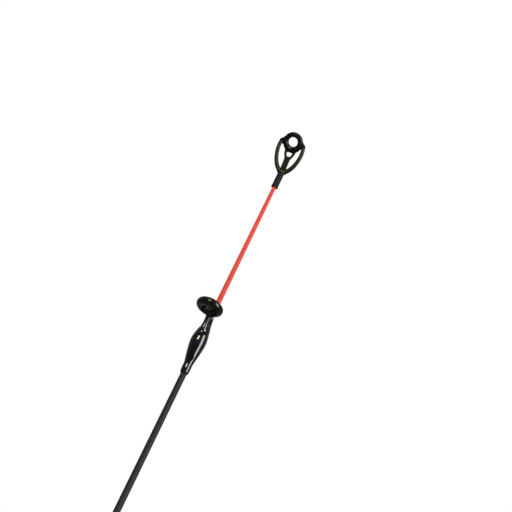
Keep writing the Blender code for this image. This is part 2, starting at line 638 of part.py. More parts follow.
def make_tip_top():
    """Tube, stamped stem with its fork and ring holder, bent support wire, and ceramic ring."""
    tube_top = tip_z - TUBE_TOP_DROP
    tube_radius = TIP_TUBE_DIA / 2.0
    bore = TIP_TUBE_BORE / 2.0
    outline = straight_outline(TIP_TUBE_LENGTH, tube_radius, tube_radius, (tube_radius - bore) / 3.0)
    item = sleeve("tip_top_tube", outline, bore, MEDIUM_STEPS, tube_top - TIP_TUBE_LENGTH)
    keep(item, quiver_tip, "black frame")

    ring_bore = TIP_RING_BORE_DIA / 2.0
    rim = TIP_RING_DIA / 2.0
    seat = ring_bore + TIP_RING_INSERT_WALL + FINE_GAP
    centre = (0.0, -TIP_RING_FORWARD, tip_z)
    lean = TIP_RING_LEAN - math.pi / 2.0
    frame = ring_holder("tip_top_frame", ring_bore, rim, seat, TIP_RING_HEIGHT, 8, MEDIUM_STEPS,
                        centre, lean)
    keep(frame, quiver_tip, "black frame")
    ceramic_ring("tip_top_ring", quiver_tip, ring_bore, rim, seat, TIP_RING_HEIGHT, 6, MEDIUM_STEPS,
                 centre, lean)

    # The stem leans forward from the tube's mouth to the lower edge of the ring.
    carry = (seat + rim) / 2.0
    forward = TIP_RING_FORWARD + TIP_PLATE_SET_BACK - carry * math.sin(TIP_RING_LEAN)
    rise = TUBE_TOP_DROP - carry * math.cos(TIP_RING_LEAN)
    length = math.hypot(forward, rise)
    stem_lean = math.atan2(forward, rise)
    foot = 0.56 * bore
    stem = TIP_STEM_WIDTH / 2.0
    fork = TIP_FORK_WIDTH / 2.0
    crotch = length - TIP_FORK_LENGTH
    right = [
        (foot, -TIP_STEM_FOOT_LENGTH), (foot, STACK_GAP), (stem, 2.0 * STACK_GAP), (stem, crotch),
        (mix(stem, fork, 0.35), crotch + 0.25 * TIP_FORK_LENGTH),
        (mix(stem, fork, 0.72), crotch + 0.50 * TIP_FORK_LENGTH),
        (fork, length - 0.02 * TIP_FORK_LENGTH),
        (0.88 * fork, length + 0.12 * TIP_FORK_LENGTH), (0.4 * fork, length),
    ]
    outline = right + [(-x, y) for x, y in reversed(right)]
    hole_half = mix(stem, fork, 0.80) - TIP_FORK_ARM
    hole_low = crotch + 0.30 * TIP_FORK_LENGTH
    hole_high = length - 0.16 * TIP_FORK_LENGTH
    hole_right = [(0.35 * hole_half, hole_low), (0.8 * hole_half, mix(hole_low, hole_high, 0.25)),
                  (hole_half, mix(hole_low, hole_high, 0.6)), (0.85 * hole_half, hole_high)]
    hole = hole_right + [(-x, y) for x, y in reversed(hole_right)]
    join(frame, plate("tip_top_stem", [outline, hole], TIP_PLATE_THICKNESS,
                      (0.0, TIP_PLATE_SET_BACK, tube_top), (math.pi / 2.0 + stem_lean, 0.0, 0.0)))

    # The support wire is an oval bow round the stem; its ends stop below the ring's two ears.
    wire = TIP_WIRE_DIA / 2.0
    low_z = tube_top + FINE_GAP + wire
    stem_front = TIP_PLATE_SET_BACK - TIP_PLATE_THICKNESS / 2.0 / math.cos(stem_lean)
    low_y = stem_front - math.tan(stem_lean) * 2.0 * wire - FINE_GAP - wire
    middle_z = tip_z - TIP_WIRE_WIDEST_DROP
    reach = middle_z - low_z
    ear_z = tip_z - TIP_EAR_START

    def on_bow(angle, side):
        height = middle_z - reach * math.cos(angle)
        share = (height - low_z) / (ear_z - low_z)
        return (side * TIP_WIRE_SPREAD / 2.0 * math.sin(angle),
                mix(low_y, -TIP_RING_FORWARD + TIP_EAR_START, share), height)

    last = math.pi / 2.0 + math.asin((ear_z - middle_z) / reach)
    step = last / 11.0
    path = [(*on_bow(abs(i) * step, math.copysign(1.0, i)), wire) for i in range(-11, 12)]
    keep(bar("tip_top_wire", path, 2), quiver_tip, "black frame")
    start = Vector(centre) + TIP_EAR_START * Vector((0.0, -math.sin(TIP_RING_LEAN),
                                                      math.cos(TIP_RING_LEAN)))
    gap = FINE_GAP / reach
    for side in (-1.0, 1.0):
        path = [(side * 0.95 * carry, start.y, start.z, wire),
                (*on_bow(last + gap + 0.6 * step, side), wire),
                (*on_bow(last + gap, side), wire)]
        join(frame, bar("tip_top_ear_left" if side < 0 else "tip_top_ear_right", path, 2))


def make_sections():
    """The three sections that slide, the guides at their mouths and the two sliding guides."""
    tube("section_4_tube", section_4, section_foot_z, socket_z, section_4_dia, SECTION_4_WALL,
         MEDIUM_STEPS)
    tube("section_3_tube", section_3, section_foot_z, section_3_mouth_z, section_3_dia,
         SECTION_3_WALL, MEDIUM_STEPS)
    tube("section_2_tube", section_2, section_foot_z, section_2_mouth_z, section_2_dia,
         SECTION_2_WALL, MEDIUM_STEPS)
    for name, body, z, length, section_dia, ring_bore in (
            ("section_4_guide", section_4, section_4_collar_z, SECTION_4_COLLAR_LENGTH,
             section_4_dia, SECTION_4_RING_BORE),
            ("section_3_guide", section_3, section_3_collar_z, SECTION_3_COLLAR_LENGTH,
             section_3_dia, SECTION_3_RING_BORE),
            ("section_2_guide", section_2, section_2_collar_z, SECTION_2_COLLAR_LENGTH,
             section_2_dia, SECTION_2_RING_BORE),
            ("butt_guide", handle, BUTT_MOUTH_Z - BUTT_COLLAR_LENGTH, BUTT_COLLAR_LENGTH,
             butt_dia, BUTT_RING_BORE)):
        bore_dia = section_dia + SECTION_TAPER * length + 2.0 * SEAT_GAP
        collar_guide(name, body, z, length, bore_dia, ring_bore, MEDIUM_STEPS)
    for name, body, z, length, section_dia, travel, ring_bore in (
            ("upper_sliding_guide", upper_slider, upper_slider_z, UPPER_SLIDER_LENGTH, section_4_dia,
             section_3_mouth_z - section_foot_z - SECTION_OVERLAP, UPPER_SLIDER_RING_BORE),
            ("lower_sliding_guide", lower_slider, lower_slider_z, LOWER_SLIDER_LENGTH, section_3_dia,
             section_2_mouth_z - section_foot_z - SECTION_OVERLAP, LOWER_SLIDER_RING_BORE)):
        reach = travel / 2.0 + length + SECTION_3_COLLAR_LENGTH
        bore_dia = section_dia + SECTION_TAPER * reach + 2.0 * SLIDE_GAP
        collar_guide(name, body, z, length, bore_dia, ring_bore, MEDIUM_STEPS)


def make_handle():
    """Cap, pad, butt section, grips and trim rings, from the butt upwards."""
    cap = CAP_DIA / 2.0
    tube_foot = butt_radius(butt_foot_z)
    cap_bore = tube_foot + SEAT_GAP
    rear_end = REAR_END_DIA / 2.0
    profile = [
        (0.0, CAP_FLOOR), (cap_bore, CAP_FLOOR), (cap_bore, CAP_LENGTH),
        (rear_end - EDGE, CAP_LENGTH), (rear_end, CAP_LENGTH - EDGE), (rear_end, 0.75 * CAP_LENGTH),
        (cap, 0.55 * CAP_LENGTH), (cap, 0.25 * CAP_LENGTH), (0.93 * cap, 0.09 * CAP_LENGTH),
        (0.76 * cap, 0.0), (0.0, 0.0),
    ]
    keep(turned("butt_cap", profile, LARGE_STEPS, closed=False), handle, "rubber")

    tube("butt_section", handle, butt_foot_z, BUTT_MOUTH_Z, butt_dia, BUTT_WALL, LARGE_STEPS)

    pad = tube_foot - BUTT_WALL - SEAT_GAP
    pad_edge = PAD_THICKNESS / 8.0
    disc = [(0.0, PAD_THICKNESS), (pad - pad_edge, PAD_THICKNESS), (pad, PAD_THICKNESS - pad_edge),
            (pad, 0.0), (0.0, 0.0)]
    item = turned("stow_pad", disc, MEDIUM_STEPS, (0.0, 0.0, butt_foot_z), closed=False)
    keep(item, handle, "foam")

    grip = GRIP_DIA / 2.0
    trim = TRIM_RING_DIA / 2.0
    check_foot = mix(butt_radius(fore_end_z), grip, 0.55)
    check_top = butt_radius(winding_check_z) + SEAT_GAP + 2.0 * EDGE
    trim_outline = straight_outline(TRIM_RING_LENGTH, trim, trim, EDGE)
    for name, z, outline, finish in (
            ("rear_grip_end", rear_end_z,
             swelling_outline(REAR_END_LENGTH, rear_end, grip, 0.0, EDGE, 3), "foam"),
            ("rear_grip", rear_grip_z,
             swelling_outline(REAR_GRIP_LENGTH, grip, grip, GRIP_SWELL, EDGE, 6), "cork"),
            ("rear_trim_ring", rear_trim_z, trim_outline, "aluminium"),
            ("front_trim_ring", front_trim_z, trim_outline, "aluminium"),
            ("fore_grip", fore_grip_z,
             swelling_outline(FORE_GRIP_LENGTH, grip, grip, GRIP_SWELL, EDGE, 4), "cork"),
            ("fore_grip_end", fore_end_z,
             swelling_outline(FORE_END_LENGTH, grip, check_foot, 0.0, EDGE, 3), "foam"),
            ("winding_check", winding_check_z,
             straight_outline(WINDING_CHECK_LENGTH, check_foot, check_top, EDGE), "aluminium")):
        keep(sleeve(name, outline, butt_radius(z) + SEAT_GAP, LARGE_STEPS, z), handle, finish)


def make_reel_seat():
    """Seat body with bed, thread and keyway; fixed hood; sliding hood and lock nut."""
    crest = SEAT_DIA / 2.0
    root = crest - THREAD_DEPTH
    bore = butt_radius(seat_z) + SEAT_GAP
    fixed_low = FIXED_HOOD_START
    fixed_mouth = fixed_low + HOOD_LENGTH
    nut_high = SEAT_LENGTH - NUT_END_GAP
    nut_low = nut_high - NUT_LENGTH
    sliding_mouth = nut_low - STACK_GAP - HOOD_LENGTH
    thread_low = nut_low - HOOD_TRAVEL - THREAD_PITCH
    turns = math.ceil((nut_high - thread_low) / THREAD_PITCH)
    outline = [(root, SEAT_LENGTH)]
    for i in range(turns):
        height = thread_low + (turns - i) * THREAD_PITCH
        outline.append((root, min(height, SEAT_LENGTH - SEAT_GAP)))
        outline.append((crest, height - THREAD_PITCH / 2.0))
    outline += [(crest, thread_low - THREAD_PITCH / 2.0), (crest, 0.0)]
    seat = sleeve("reel_seat", outline, bore, LARGE_STEPS, seat_z)
    keep(seat, handle, "seat nylon")
    bed_face = -crest - BED_RISE
    bed_low = seat_z + fixed_mouth - POCKET_DEPTH + BED_START
    bed_high = seat_z + sliding_mouth - HOOD_TRAVEL + BED_REACH
    bed_root = -mix(bore, root, 0.4)
    join(seat, block("reel_seat_bed", (-BED_WIDTH / 2.0, bed_face, bed_low),
                     (BED_WIDTH / 2.0, bed_root, bed_high)))
    keyway_floor = crest - KEYWAY_DEPTH
    cut(seat, block("reel_seat_keyway",
                    (-KEYWAY_WIDTH / 2.0, keyway_floor, seat_z + sliding_mouth - HOOD_TRAVEL - EDGE),
                    (KEYWAY_WIDTH / 2.0, crest + EDGE, seat_z + SEAT_LENGTH + EDGE)))

    fixed = hood("fixed_hood", seat_z + fixed_mouth, crest + SEAT_GAP, turned_over=True)
    keep(fixed, handle, "hood steel")
    hood_frame = body_frame("seat_hood", seat_z + sliding_mouth)
    hood_bore = crest + SLIDE_GAP
    sliding = hood("sliding_hood", seat_z + sliding_mouth, hood_bore, turned_over=False)
    keep(sliding, hood_frame, "hood steel")
    key_side = KEYWAY_WIDTH / 2.0 - SLIDE_GAP
    join(sliding, block("sliding_hood_key",
                        (-key_side, keyway_floor + SLIDE_GAP, seat_z + sliding_mouth + EDGE),
                        (key_side, hood_bore + HOOD_WALL / 2.0,
                         seat_z + sliding_mouth + HOOD_LENGTH - EDGE)))

    nut_frame = body_frame("seat_nut", seat_z + nut_low)
    middle = hood_bore + NUT_WALL - NUT_LOBE_DEPTH / 2.0
    count = 4 * NUT_LOBES
    rim = []
    for i in range(count):
        angle = 2.0 * math.pi * i / count
        radius = middle + NUT_LOBE_DEPTH / 2.0 * math.cos(NUT_LOBES * angle)
        rim.append((radius * math.cos(angle), radius * math.sin(angle)))
    nut = plate("lock_nut", [rim, circle(hood_bore, LARGE_STEPS)], NUT_LENGTH,
                (0.0, 0.0, seat_z + nut_low + NUT_LENGTH / 2.0), (0.0, 0.0, 0.0))
    keep(nut, nut_frame, "seat nylon")


def hood(name, mouth_z, bore, turned_over):
    """A reel-seat hood: a ring round the seat with a lobe that is hollowed into a pocket for one
    end of the reel's foot. Its mouth is at the bottom, or at the top when it is turned over."""
    outer = bore + HOOD_WALL
    lobe = HOOD_LOBE_DIA / 2.0
    pocket = POCKET_DIA / 2.0
    way = -1.0 if turned_over else 1.0

    def span(low, high):
        return sorted((mouth_z + way * low, mouth_z + way * high))

    def tapered(label, mouth_radius, end_radius, low, high):
        low_z, high_z = span(low, high)
        radii = (end_radius, mouth_radius) if turned_over else (mouth_radius, end_radius)
        return frustum(name + label, radii[0], radii[1], low_z, high_z, -POCKET_OFFSET, MEDIUM_STEPS)

    low_z, high_z = span(0.0, HOOD_LENGTH)
    item = sleeve(name, straight_outline(HOOD_LENGTH, outer, outer, EDGE), outer * 0.6,
                  LARGE_STEPS, low_z)
    join(item, tapered("_lobe", lobe, lobe * 0.84, 0.0, HOOD_LENGTH - 2.0 * EDGE))
    cut(item, tapered("_pocket", pocket, pocket * 0.94, -EDGE, POCKET_DEPTH))
    cut(item, frustum(name + "_bore", bore, bore, low_z - EDGE, high_z + EDGE, 0.0, LARGE_STEPS))
    return item


def make_bindings():
    """Hook keeper on the blank above the fore grip, its whippings, and the one at the mouth."""
    blank = butt_radius(keeper_z)
    wire = KEEPER_WIRE_DIA / 2.0
    low = -blank - SEAT_GAP - wire
    total = 2.0 * KEEPER_FOOT + KEEPER_LOOP_LENGTH
    path = []
    count = 20
    for i in range(count + 1):
        share = i / count
        along = share * total
        inside = min(max((along - KEEPER_FOOT) / KEEPER_LOOP_LENGTH, 0.0), 1.0)
        rise = KEEPER_LOOP_HEIGHT * math.sin(math.pi * inside) ** 2
        path.append((0.0, low - rise, keeper_z + along, wire))
    keep(bar("hook_keeper", path, 1), handle, "hood steel")
    margin = EDGE
    cover = blank + 2.0 * SEAT_GAP + KEEPER_WIRE_DIA + BINDING_WALL
    groove = [(x, y, z, radius + SEAT_GAP) for x, y, z, radius in path]
    for name, start in (("lower_keeper_binding", keeper_z - margin),
                        ("upper_keeper_binding", keeper_z + total - KEEPER_FOOT + margin)):
        outline = straight_outline(KEEPER_FOOT, cover, cover, EDGE)
        item = sleeve(name, outline, butt_radius(start) + SEAT_GAP, LARGE_STEPS, start)
        keep(item, handle, "black epoxy")
        ends = [(0.0, low, path[0][2] - SEAT_GAP, wire + SEAT_GAP)] + groove
        ends.append((0.0, low, path[-1][2] + SEAT_GAP, wire + SEAT_GAP))
        cut(item, bar(name + "_groove", ends, 1))

    start = BUTT_MOUTH_Z - BUTT_COLLAR_LENGTH - SEAT_GAP - MOUTH_BINDING_LENGTH
    bore = butt_radius(start) + SEAT_GAP
    outer = bore + MOUTH_BINDING_WALL
    outline = straight_outline(MOUTH_BINDING_LENGTH, outer, outer, MOUTH_BINDING_WALL / 2.0)
    keep(sleeve("mouth_binding", outline, bore, LARGE_STEPS, start), handle, "black epoxy")


make_handle()
make_reel_seat()
make_bindings()
make_sections()
make_quiver_tip()
make_tip_top()
bpy.context.view_layer.update()
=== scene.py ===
"""Finishes and finer shapes of a telescopic feeder rod, run in, with its quiver tip plugged in.

The rod stands along +Z with its guides towards -Y. Every size is in metres.
"""

import math

import bmesh
import bpy
from mathutils import Matrix, Vector


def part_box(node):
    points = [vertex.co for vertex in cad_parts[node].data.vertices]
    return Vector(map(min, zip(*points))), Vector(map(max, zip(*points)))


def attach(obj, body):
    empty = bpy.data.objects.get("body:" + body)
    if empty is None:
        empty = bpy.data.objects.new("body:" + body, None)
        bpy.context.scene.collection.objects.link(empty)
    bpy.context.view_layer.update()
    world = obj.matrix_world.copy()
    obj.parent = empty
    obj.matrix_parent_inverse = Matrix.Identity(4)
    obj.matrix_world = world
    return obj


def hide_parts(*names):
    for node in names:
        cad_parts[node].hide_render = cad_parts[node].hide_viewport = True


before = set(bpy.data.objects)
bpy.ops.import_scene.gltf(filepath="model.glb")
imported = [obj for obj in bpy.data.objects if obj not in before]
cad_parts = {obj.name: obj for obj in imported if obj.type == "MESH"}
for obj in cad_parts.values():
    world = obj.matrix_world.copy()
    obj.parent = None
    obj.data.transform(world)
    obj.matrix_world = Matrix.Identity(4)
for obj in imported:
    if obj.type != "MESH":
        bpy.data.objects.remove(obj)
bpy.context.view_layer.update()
scene = bpy.context.scene
scene.view_settings.view_transform = "Standard"

# Camera, light and floor. The camera looks up at the last 0.2 m of the rod from below its side.
# Two lamps show only as reflections, a small warm one by the camera and a tall cool one to the
# right. Two broad lamps and the white room light the rod itself.
def stand(name, data):
    """Put a mesh, a lamp or a camera into the scene as an object."""
    item = bpy.data.objects.new(name, data)
    scene.collection.objects.link(item)
    return item


to_camera = Vector((0.2747, -0.8986, -0.342)).normalized()
rod_up = (Vector((0.0, 0.0, 1.0)) + to_camera * -to_camera.z).normalized()
rod_right = rod_up.cross(to_camera)
CAMERA_DISTANCE = 0.93
CAMERA_ROLL = math.radians(25.8)
CAMERA_FIELD = 0.2304        # width of the picture at the rod
SENSOR_WIDTH = 0.036
AIM_HEIGHT = 1.087
AIM_RIGHT, AIM_DOWN = 0.00611, 0.00077
aim = Vector((0.0, 0.0, AIM_HEIGHT)) + AIM_RIGHT * rod_right - AIM_DOWN * rod_up
picture_up = math.cos(CAMERA_ROLL) * rod_up - math.sin(CAMERA_ROLL) * rod_right
picture_right = picture_up.cross(to_camera)
camera_data = bpy.data.cameras.new("camera")
camera_data.sensor_width = 1000.0 * SENSOR_WIDTH
camera_data.lens = 1000.0 * SENSOR_WIDTH * CAMERA_DISTANCE / CAMERA_FIELD
camera_data.clip_start = 0.01
camera_data.clip_end = 20.0
camera = stand("camera", camera_data)
turn = Matrix((picture_right, picture_up, to_camera)).transposed()
camera.matrix_world = Matrix.LocRotScale(aim + CAMERA_DISTANCE * to_camera, turn, None)
scene.camera = camera


def add_lamp(name, place, target, width, height, radiance, colour, only_gloss=False):
    """A rectangular lamp of an even radiance, turned to a point, with its height upright."""
    lamp = bpy.data.lights.new(name, "AREA")
    lamp.shape = "RECTANGLE"
    lamp.size = width
    lamp.size_y = height
    lamp.energy = radiance * math.pi * width * height
    lamp.color = colour
    item = stand(name, lamp)
    item.location = place
    item.rotation_euler = (Vector(target) - Vector(place)).to_track_quat("-Z", "Y").to_euler()
    item.visible_diffuse = not only_gloss


add_lamp("warm_lamp", (-0.16, -1.34, 1.62), (0.0, 0.0, 1.06), 0.44, 0.56, 100.0, (1.0, 1.0, 0.64), True)
add_lamp("tall_lamp", (1.46, -0.66, 1.50), (0.0, 0.0, 1.50), 0.80, 1.70, 56.0, (0.88, 0.94, 1.0), True)
add_lamp("broad_lamp", (1.60, -1.60, 1.80), (0.0, 0.0, 0.60), 1.40, 1.80, 1.6, (1.0, 1.0, 1.0))
add_lamp("rear_lamp", (-1.10, 1.50, 1.50), (0.0, 0.0, 0.60), 0.90, 1.20, 1.2, (1.0, 1.0, 1.0))


def put(tree, kind, inputs=None, **settings):
    """Add a node, set its properties, and link or fill its inputs."""
    node = tree.nodes.new(kind)
    for name, value in settings.items():
        setattr(node, name, value)
    for key, value in (inputs or {}).items():
        if isinstance(value, bpy.types.NodeSocket):
            tree.links.new(value, node.inputs[key])
        else:
            node.inputs[key].default_value = value
    return node


def calc(tree, operation, *values):
    """What a Math node makes of links and numbers."""
    return put(tree, "ShaderNodeMath", dict(enumerate(values)), operation=operation).outputs[0]


ROOM_LIGHT = 0.72            # of the white room on matt surfaces; it shows as 1 to the eye
world = bpy.data.worlds.new("white_room")
scene.world = world
world.use_nodes = True
room = world.node_tree
path = put(room, "ShaderNodeLightPath")
seen = path.outputs["Is Camera Ray"]
for ray in ("Is Glossy Ray", "Is Transmission Ray"):
    seen = calc(room, "MAXIMUM", seen, path.outputs[ray])
level = put(room, "ShaderNodeMapRange", {"Value": seen, "To Min": ROOM_LIGHT})
background = room.nodes["Background"]
background.inputs["Color"].default_value = (1.0, 1.0, 1.0, 1.0)
room.links.new(level.outputs["Result"], background.inputs["Strength"])


def around(count):
    """Even turns about an axis, in radians."""
    return [2.0 * math.pi * k / count for k in range(count)]


def polar(angle, reach, z):
    """A point at a reach from the rod's axis."""
    return reach * math.cos(angle), reach * math.sin(angle), z


def ring_of(angles, radius, z):
    """A level ring of points about the rod's axis."""
    return [polar(angle, radius, z) for angle in angles]


def new_material(name, shader_values):
    """A material with one shader and the values that are even all over it: (material, tree)."""
    material = bpy.data.materials.new(name)
    material.use_nodes = True
    shader = material.node_tree.nodes["Principled BSDF"]
    for socket, value in shader_values.items():
        shader.inputs[socket].default_value = value
    return material, material.node_tree


FLOOR_RADIUS = 8.0
FLOOR_SIDES = 64
FLOOR_DROP = 0.0005          # under the rod's end face
floor_mesh = bpy.data.meshes.new("floor")
floor_mesh.from_pydata(ring_of(around(FLOOR_SIDES), FLOOR_RADIUS, 0.0), [],
                       [tuple(range(FLOOR_SIDES))])
floor_mesh.materials.append(new_material("floor_paper", {
    "Base Color": (0.90, 0.90, 0.90, 1.0), "Roughness": 0.9, "Specular IOR Level": 0.1})[0])
floor = stand("floor", floor_mesh)
floor.location.z = -FLOOR_DROP


# Butt section: the largest tapered tube, carbon cloth rolled on a mandrel, ground and left matt.
# The run-in sections stand inside it, each a tube of the same make.
def new_group(name, kind, inputs, outputs):
    """An empty node group with named sockets: (tree, what it is given, what it results in)."""
    tree = bpy.data.node_groups.new(name, kind)
    for way, sockets in (("INPUT", inputs), ("OUTPUT", outputs)):
        for socket, sort in sockets:
            tree.interface.new_socket(socket, in_out=way, socket_type="NodeSocket" + sort)
    return tree, tree.nodes.new("NodeGroupInput").outputs, tree.nodes.new("NodeGroupOutput").inputs


def make_grain():
    """Fine and broad unevenness of a surface, drawn out along the rod by Stretch."""
    tree, given, result = new_group(
        "grain", "ShaderNodeTree",
        (("Vector", "Vector"), ("Stretch", "Vector"), ("Fine Scale", "Float"), ("Broad Scale", "Float")),
        (("Fine", "Float"), ("Broad", "Float")))
    stretched = put(tree, "ShaderNodeVectorMath", {0: given["Vector"], 1: given["Stretch"]},
                    operation="MULTIPLY").outputs["Vector"]
    for output, detail in (("Fine", 4.0), ("Broad", 2.0)):
        noise = put(tree, "ShaderNodeTexNoise", {
            "Vector": stretched, "Scale": given[output + " Scale"], "Detail": detail})
        tree.links.new(noise.outputs["Fac"], result[output])
    return tree


grain = make_grain()


def surface_place(tree):
    """The object's own coordinates."""
    return put(tree, "ShaderNodeTexCoord").outputs["Object"]


def unevenness(tree, place, stretch, fine_scale, broad_scale):
    """The (fine, broad) grain of a surface."""
    node = put(tree, "ShaderNodeGroup", {
        "Vector": place, "Stretch": stretch, "Fine Scale": fine_scale, "Broad Scale": broad_scale},
        node_tree=grain)
    return node.outputs["Fine"], node.outputs["Broad"]


def spread(tree, value, low, high, start=0.3, end=0.7):
    """Turn what lies between start and end into what lies between low and high."""
    return put(tree, "ShaderNodeMapRange", {
        "Value": value, "From Min": start, "From Max": end, "To Min": low, "To Max": high}).outputs[0]


def scaled(tree, colour, share):
    """A colour made darker or brighter by a share."""
    return put(tree, "ShaderNodeVectorMath", {0: colour, "Scale": share},
               operation="SCALE").outputs["Vector"]


def finish(tree, colour, roughness, height, depth):
    """Link colour, roughness and relief, of a depth in metres, to the material's shader."""
    shader = tree.nodes["Principled BSDF"].inputs
    tree.links.new(colour, shader["Base Color"])
    tree.links.new(roughness, shader["Roughness"])
    bump = put(tree, "ShaderNodeBump", {"Height": height, "Distance": depth, "Strength": 1.0})
    tree.links.new(bump.outputs["Normal"], shader["Normal"])


def new_finish(name, colour, shader_values, stretch, fine_scale, broad_scale, tone, roughness, depth):
    """A finish whose colour, roughness and height vary with the grain of its surface.

    tone and roughness are (low, high): what the broad and the fine grain turn them to. depth is
    the depth of the fine grain."""
    material, tree = new_material(name, shader_values)
    fine, broad = unevenness(tree, surface_place(tree), stretch, fine_scale, broad_scale)
    finish(tree, scaled(tree, colour, spread(tree, broad, *tone)), spread(tree, fine, *roughness),
           fine, depth)
    return material


carbon = new_finish("matt_carbon", (0.0112, 0.0112, 0.0111), {"Specular IOR Level": 0.045},
                    (1.0, 1.0, 0.05), 5200.0, 260.0, (0.80, 1.20), (0.55, 0.68), 0.00001)


def new_maker(name, *sizes):
    """A Geometry Nodes tree that takes a start mesh, named sizes and a finish."""
    tree, given, result = new_group(
        name, "GeometryNodeTree", (("Geometry", "Geometry"), *sizes, ("Finish", "Material")),
        (("Geometry", "Geometry"),))
    tree.is_modifier = True
    return tree, given, result


def lifted(tree, geometry, height):
    """Geometry, moved up the rod."""
    up = put(tree, "ShaderNodeCombineXYZ", {"Z": height}).outputs["Vector"]
    return put(tree, "GeometryNodeTransform", {"Geometry": geometry, "Translation": up}).outputs[0]


def deliver(tree, given, result, geometry):
    """End a maker's tree: plain geometry in its finish."""
    real = put(tree, "GeometryNodeRealizeInstances", {"Geometry": geometry})
    dressed = put(tree, "GeometryNodeSetMaterial", {
        "Geometry": real.outputs["Geometry"], "Material": given["Finish"]})
    tree.links.new(dressed.outputs["Geometry"], result["Geometry"])
    return tree


def make_tapered_tube():
    """A tapered tube with an even wall, open at both ends."""
    tree, given, result = new_maker(
        "tapered_tube", ("Foot Radius", "Float"), ("Mouth Radius", "Float"), ("Wall", "Float"),
        ("Foot Height", "Float"), ("Length", "Float"), ("Steps", "Int"))
    outside = put(tree, "GeometryNodeMeshCone", {
        "Vertices": given["Steps"], "Side Segments": 8, "Radius Top": given["Mouth Radius"],
        "Radius Bottom": given["Foot Radius"], "Depth": given["Length"]}, fill_type="NONE")
    inside = put(tree, "GeometryNodeExtrudeMesh", {
        "Mesh": outside.outputs["Mesh"], "Offset Scale": calc(tree, "MULTIPLY", given["Wall"], -1.0),
        "Individual": False})
    walls = put(tree, "GeometryNodeJoinGeometry")
    tree.links.new(outside.outputs["Mesh"], walls.inputs[0])
    tree.links.new(inside.outputs["Mesh"], walls.inputs[0])
    closed = put(tree, "GeometryNodeMergeByDistance", {
        "Geometry": walls.outputs["Geometry"], "Distance": 0.000001})
    return deliver(tree, given, result, lifted(tree, closed.outputs[0], given["Foot Height"]))


tapered_tube = make_tapered_tube()
SHARP_ANGLE = math.radians(38.0)
WELD_DISTANCE = 0.0000005


def tidy_mesh(mesh):
    """Weld a closed mesh, point its faces outwards and shade it smooth up to its edges."""
    work = bmesh.new()
    work.from_mesh(mesh)
    bmesh.ops.remove_doubles(work, verts=work.verts, dist=WELD_DISTANCE)
    bmesh.ops.dissolve_degenerate(work, edges=work.edges, dist=WELD_DISTANCE)
    bmesh.ops.recalc_face_normals(work, faces=work.faces)
    work.to_mesh(mesh)
    work.free()
    mesh.shade_smooth()
    mesh.set_sharp_from_angle(angle=SHARP_ANGLE)


def shown_mesh(item, name):
    """A plain mesh of what an object shows with its modifiers."""
    bpy.context.view_layer.update()
    mesh = bpy.data.meshes.new_from_object(item.evaluated_get(bpy.context.evaluated_depsgraph_get()))
    mesh.name = name
    return mesh


def grown(name, tree, values, start=None):
    """The plain mesh that a Geometry Nodes tree makes from a start mesh and named inputs."""
    seed = stand(name + "_seed", start or bpy.data.meshes.new(name + "_seed"))
    modifier = seed.modifiers.new(tree.name, "NODES")
    modifier.node_group = tree
    for socket in tree.interface.items_tree:
        if socket.item_type == "SOCKET" and socket.in_out == "INPUT" and socket.name in values:
            modifier[socket.identifier] = values[socket.name]
    mesh = shown_mesh(seed, name)
    bpy.data.objects.remove(seed, do_unlink=True)
    tidy_mesh(mesh)
    return stand(name, mesh)


def dress(piece, material, slot, body, *nodes):
    """Give a finished piece its material, hide the solids that it stands for and hang it on what carries
    it.
    """
    piece.data.materials.clear()
    piece.data.materials.append(material)
    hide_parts(*nodes)
    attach(piece, body)


BLANK_TAPER = 0.0012         # growth of a section's radius for each metre towards its foot
BLANK_STEPS = 64


def rolled_section(name, node, body, wall):
    """One section of the blank, in place of its solid: (radius at its foot, its foot's height)."""
    low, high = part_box(node)
    length = high.z - low.z
    piece = grown(name, tapered_tube, {
        "Foot Radius": high.x, "Mouth Radius": high.x - BLANK_TAPER * length, "Wall": wall,
        "Foot Height": low.z, "Length": length, "Steps": BLANK_STEPS, "Finish": carbon})
    dress(piece, carbon, "matt_blank", body, node)
    return high.x, low.z


butt_foot_radius, butt_foot_z = rolled_section("butt_blank", "butt_section", "handle", 0.0009)


def butt_radius(z):
    """Outer radius of the butt section at a height."""
    return butt_foot_radius - BLANK_TAPER * (z - butt_foot_z)


# Butt cap and stow pad: a ribbed rubber cap is pushed over the end of the tube, and a disc of
# foam inside it stops the run-in sections from knocking.
def skin(name, rows, loop=True, caps=()):
    """Quads over rows of points, each row a closed ring; loop joins the last row to the first.

    caps are further faces, as numbers of points."""
    count = len(rows[0])
    faces = []
    for i in range(len(rows) if loop else len(rows) - 1):
        here = i * count
        there = (i + 1) % len(rows) * count
        for k in range(count):
            after = (k + 1) % count
            faces.append((here + k, here + after, there + after, there + k))
    mesh = bpy.data.meshes.new(name)
    mesh.from_pydata([point for row in rows for point in row], [], faces + list(caps))
    tidy_mesh(mesh)
    return stand(name, mesh)


def shares(count):
    """Even steps from 0 to 1."""
    return [i / count for i in range(count + 1)]


def bent(start, corner, end, count):
    """Points of a bend from start to end that leans towards a corner."""
    return [start * (1 - t) ** 2 + corner * 2 * t * (1 - t) + end * t ** 2 for t in shares(count)]


def rounded(profile, reach):
    """A closed profile of (radius, height) with its corners eased over a distance.

    A corner with a third number is eased over that distance of its own."""
    eased = []
    for i, corner in enumerate(profile):
        here = Vector(corner[:2])
        before = Vector(profile[i - 1][:2]) - here
        after = Vector(profile[(i + 1) % len(profile)][:2]) - here
        if here.x <= 0.0 or before.length == 0.0 or after.length == 0.0:
            eased.append(tuple(here))
            continue
        own = corner[2] if len(corner) > 2 else reach
        start = here + before.normalized() * min(own, 0.45 * before.length)
        end = here + after.normalized() * min(own, 0.45 * after.length)
        eased += [tuple(point) for point in bent(start, here, end, 4)]
    return eased


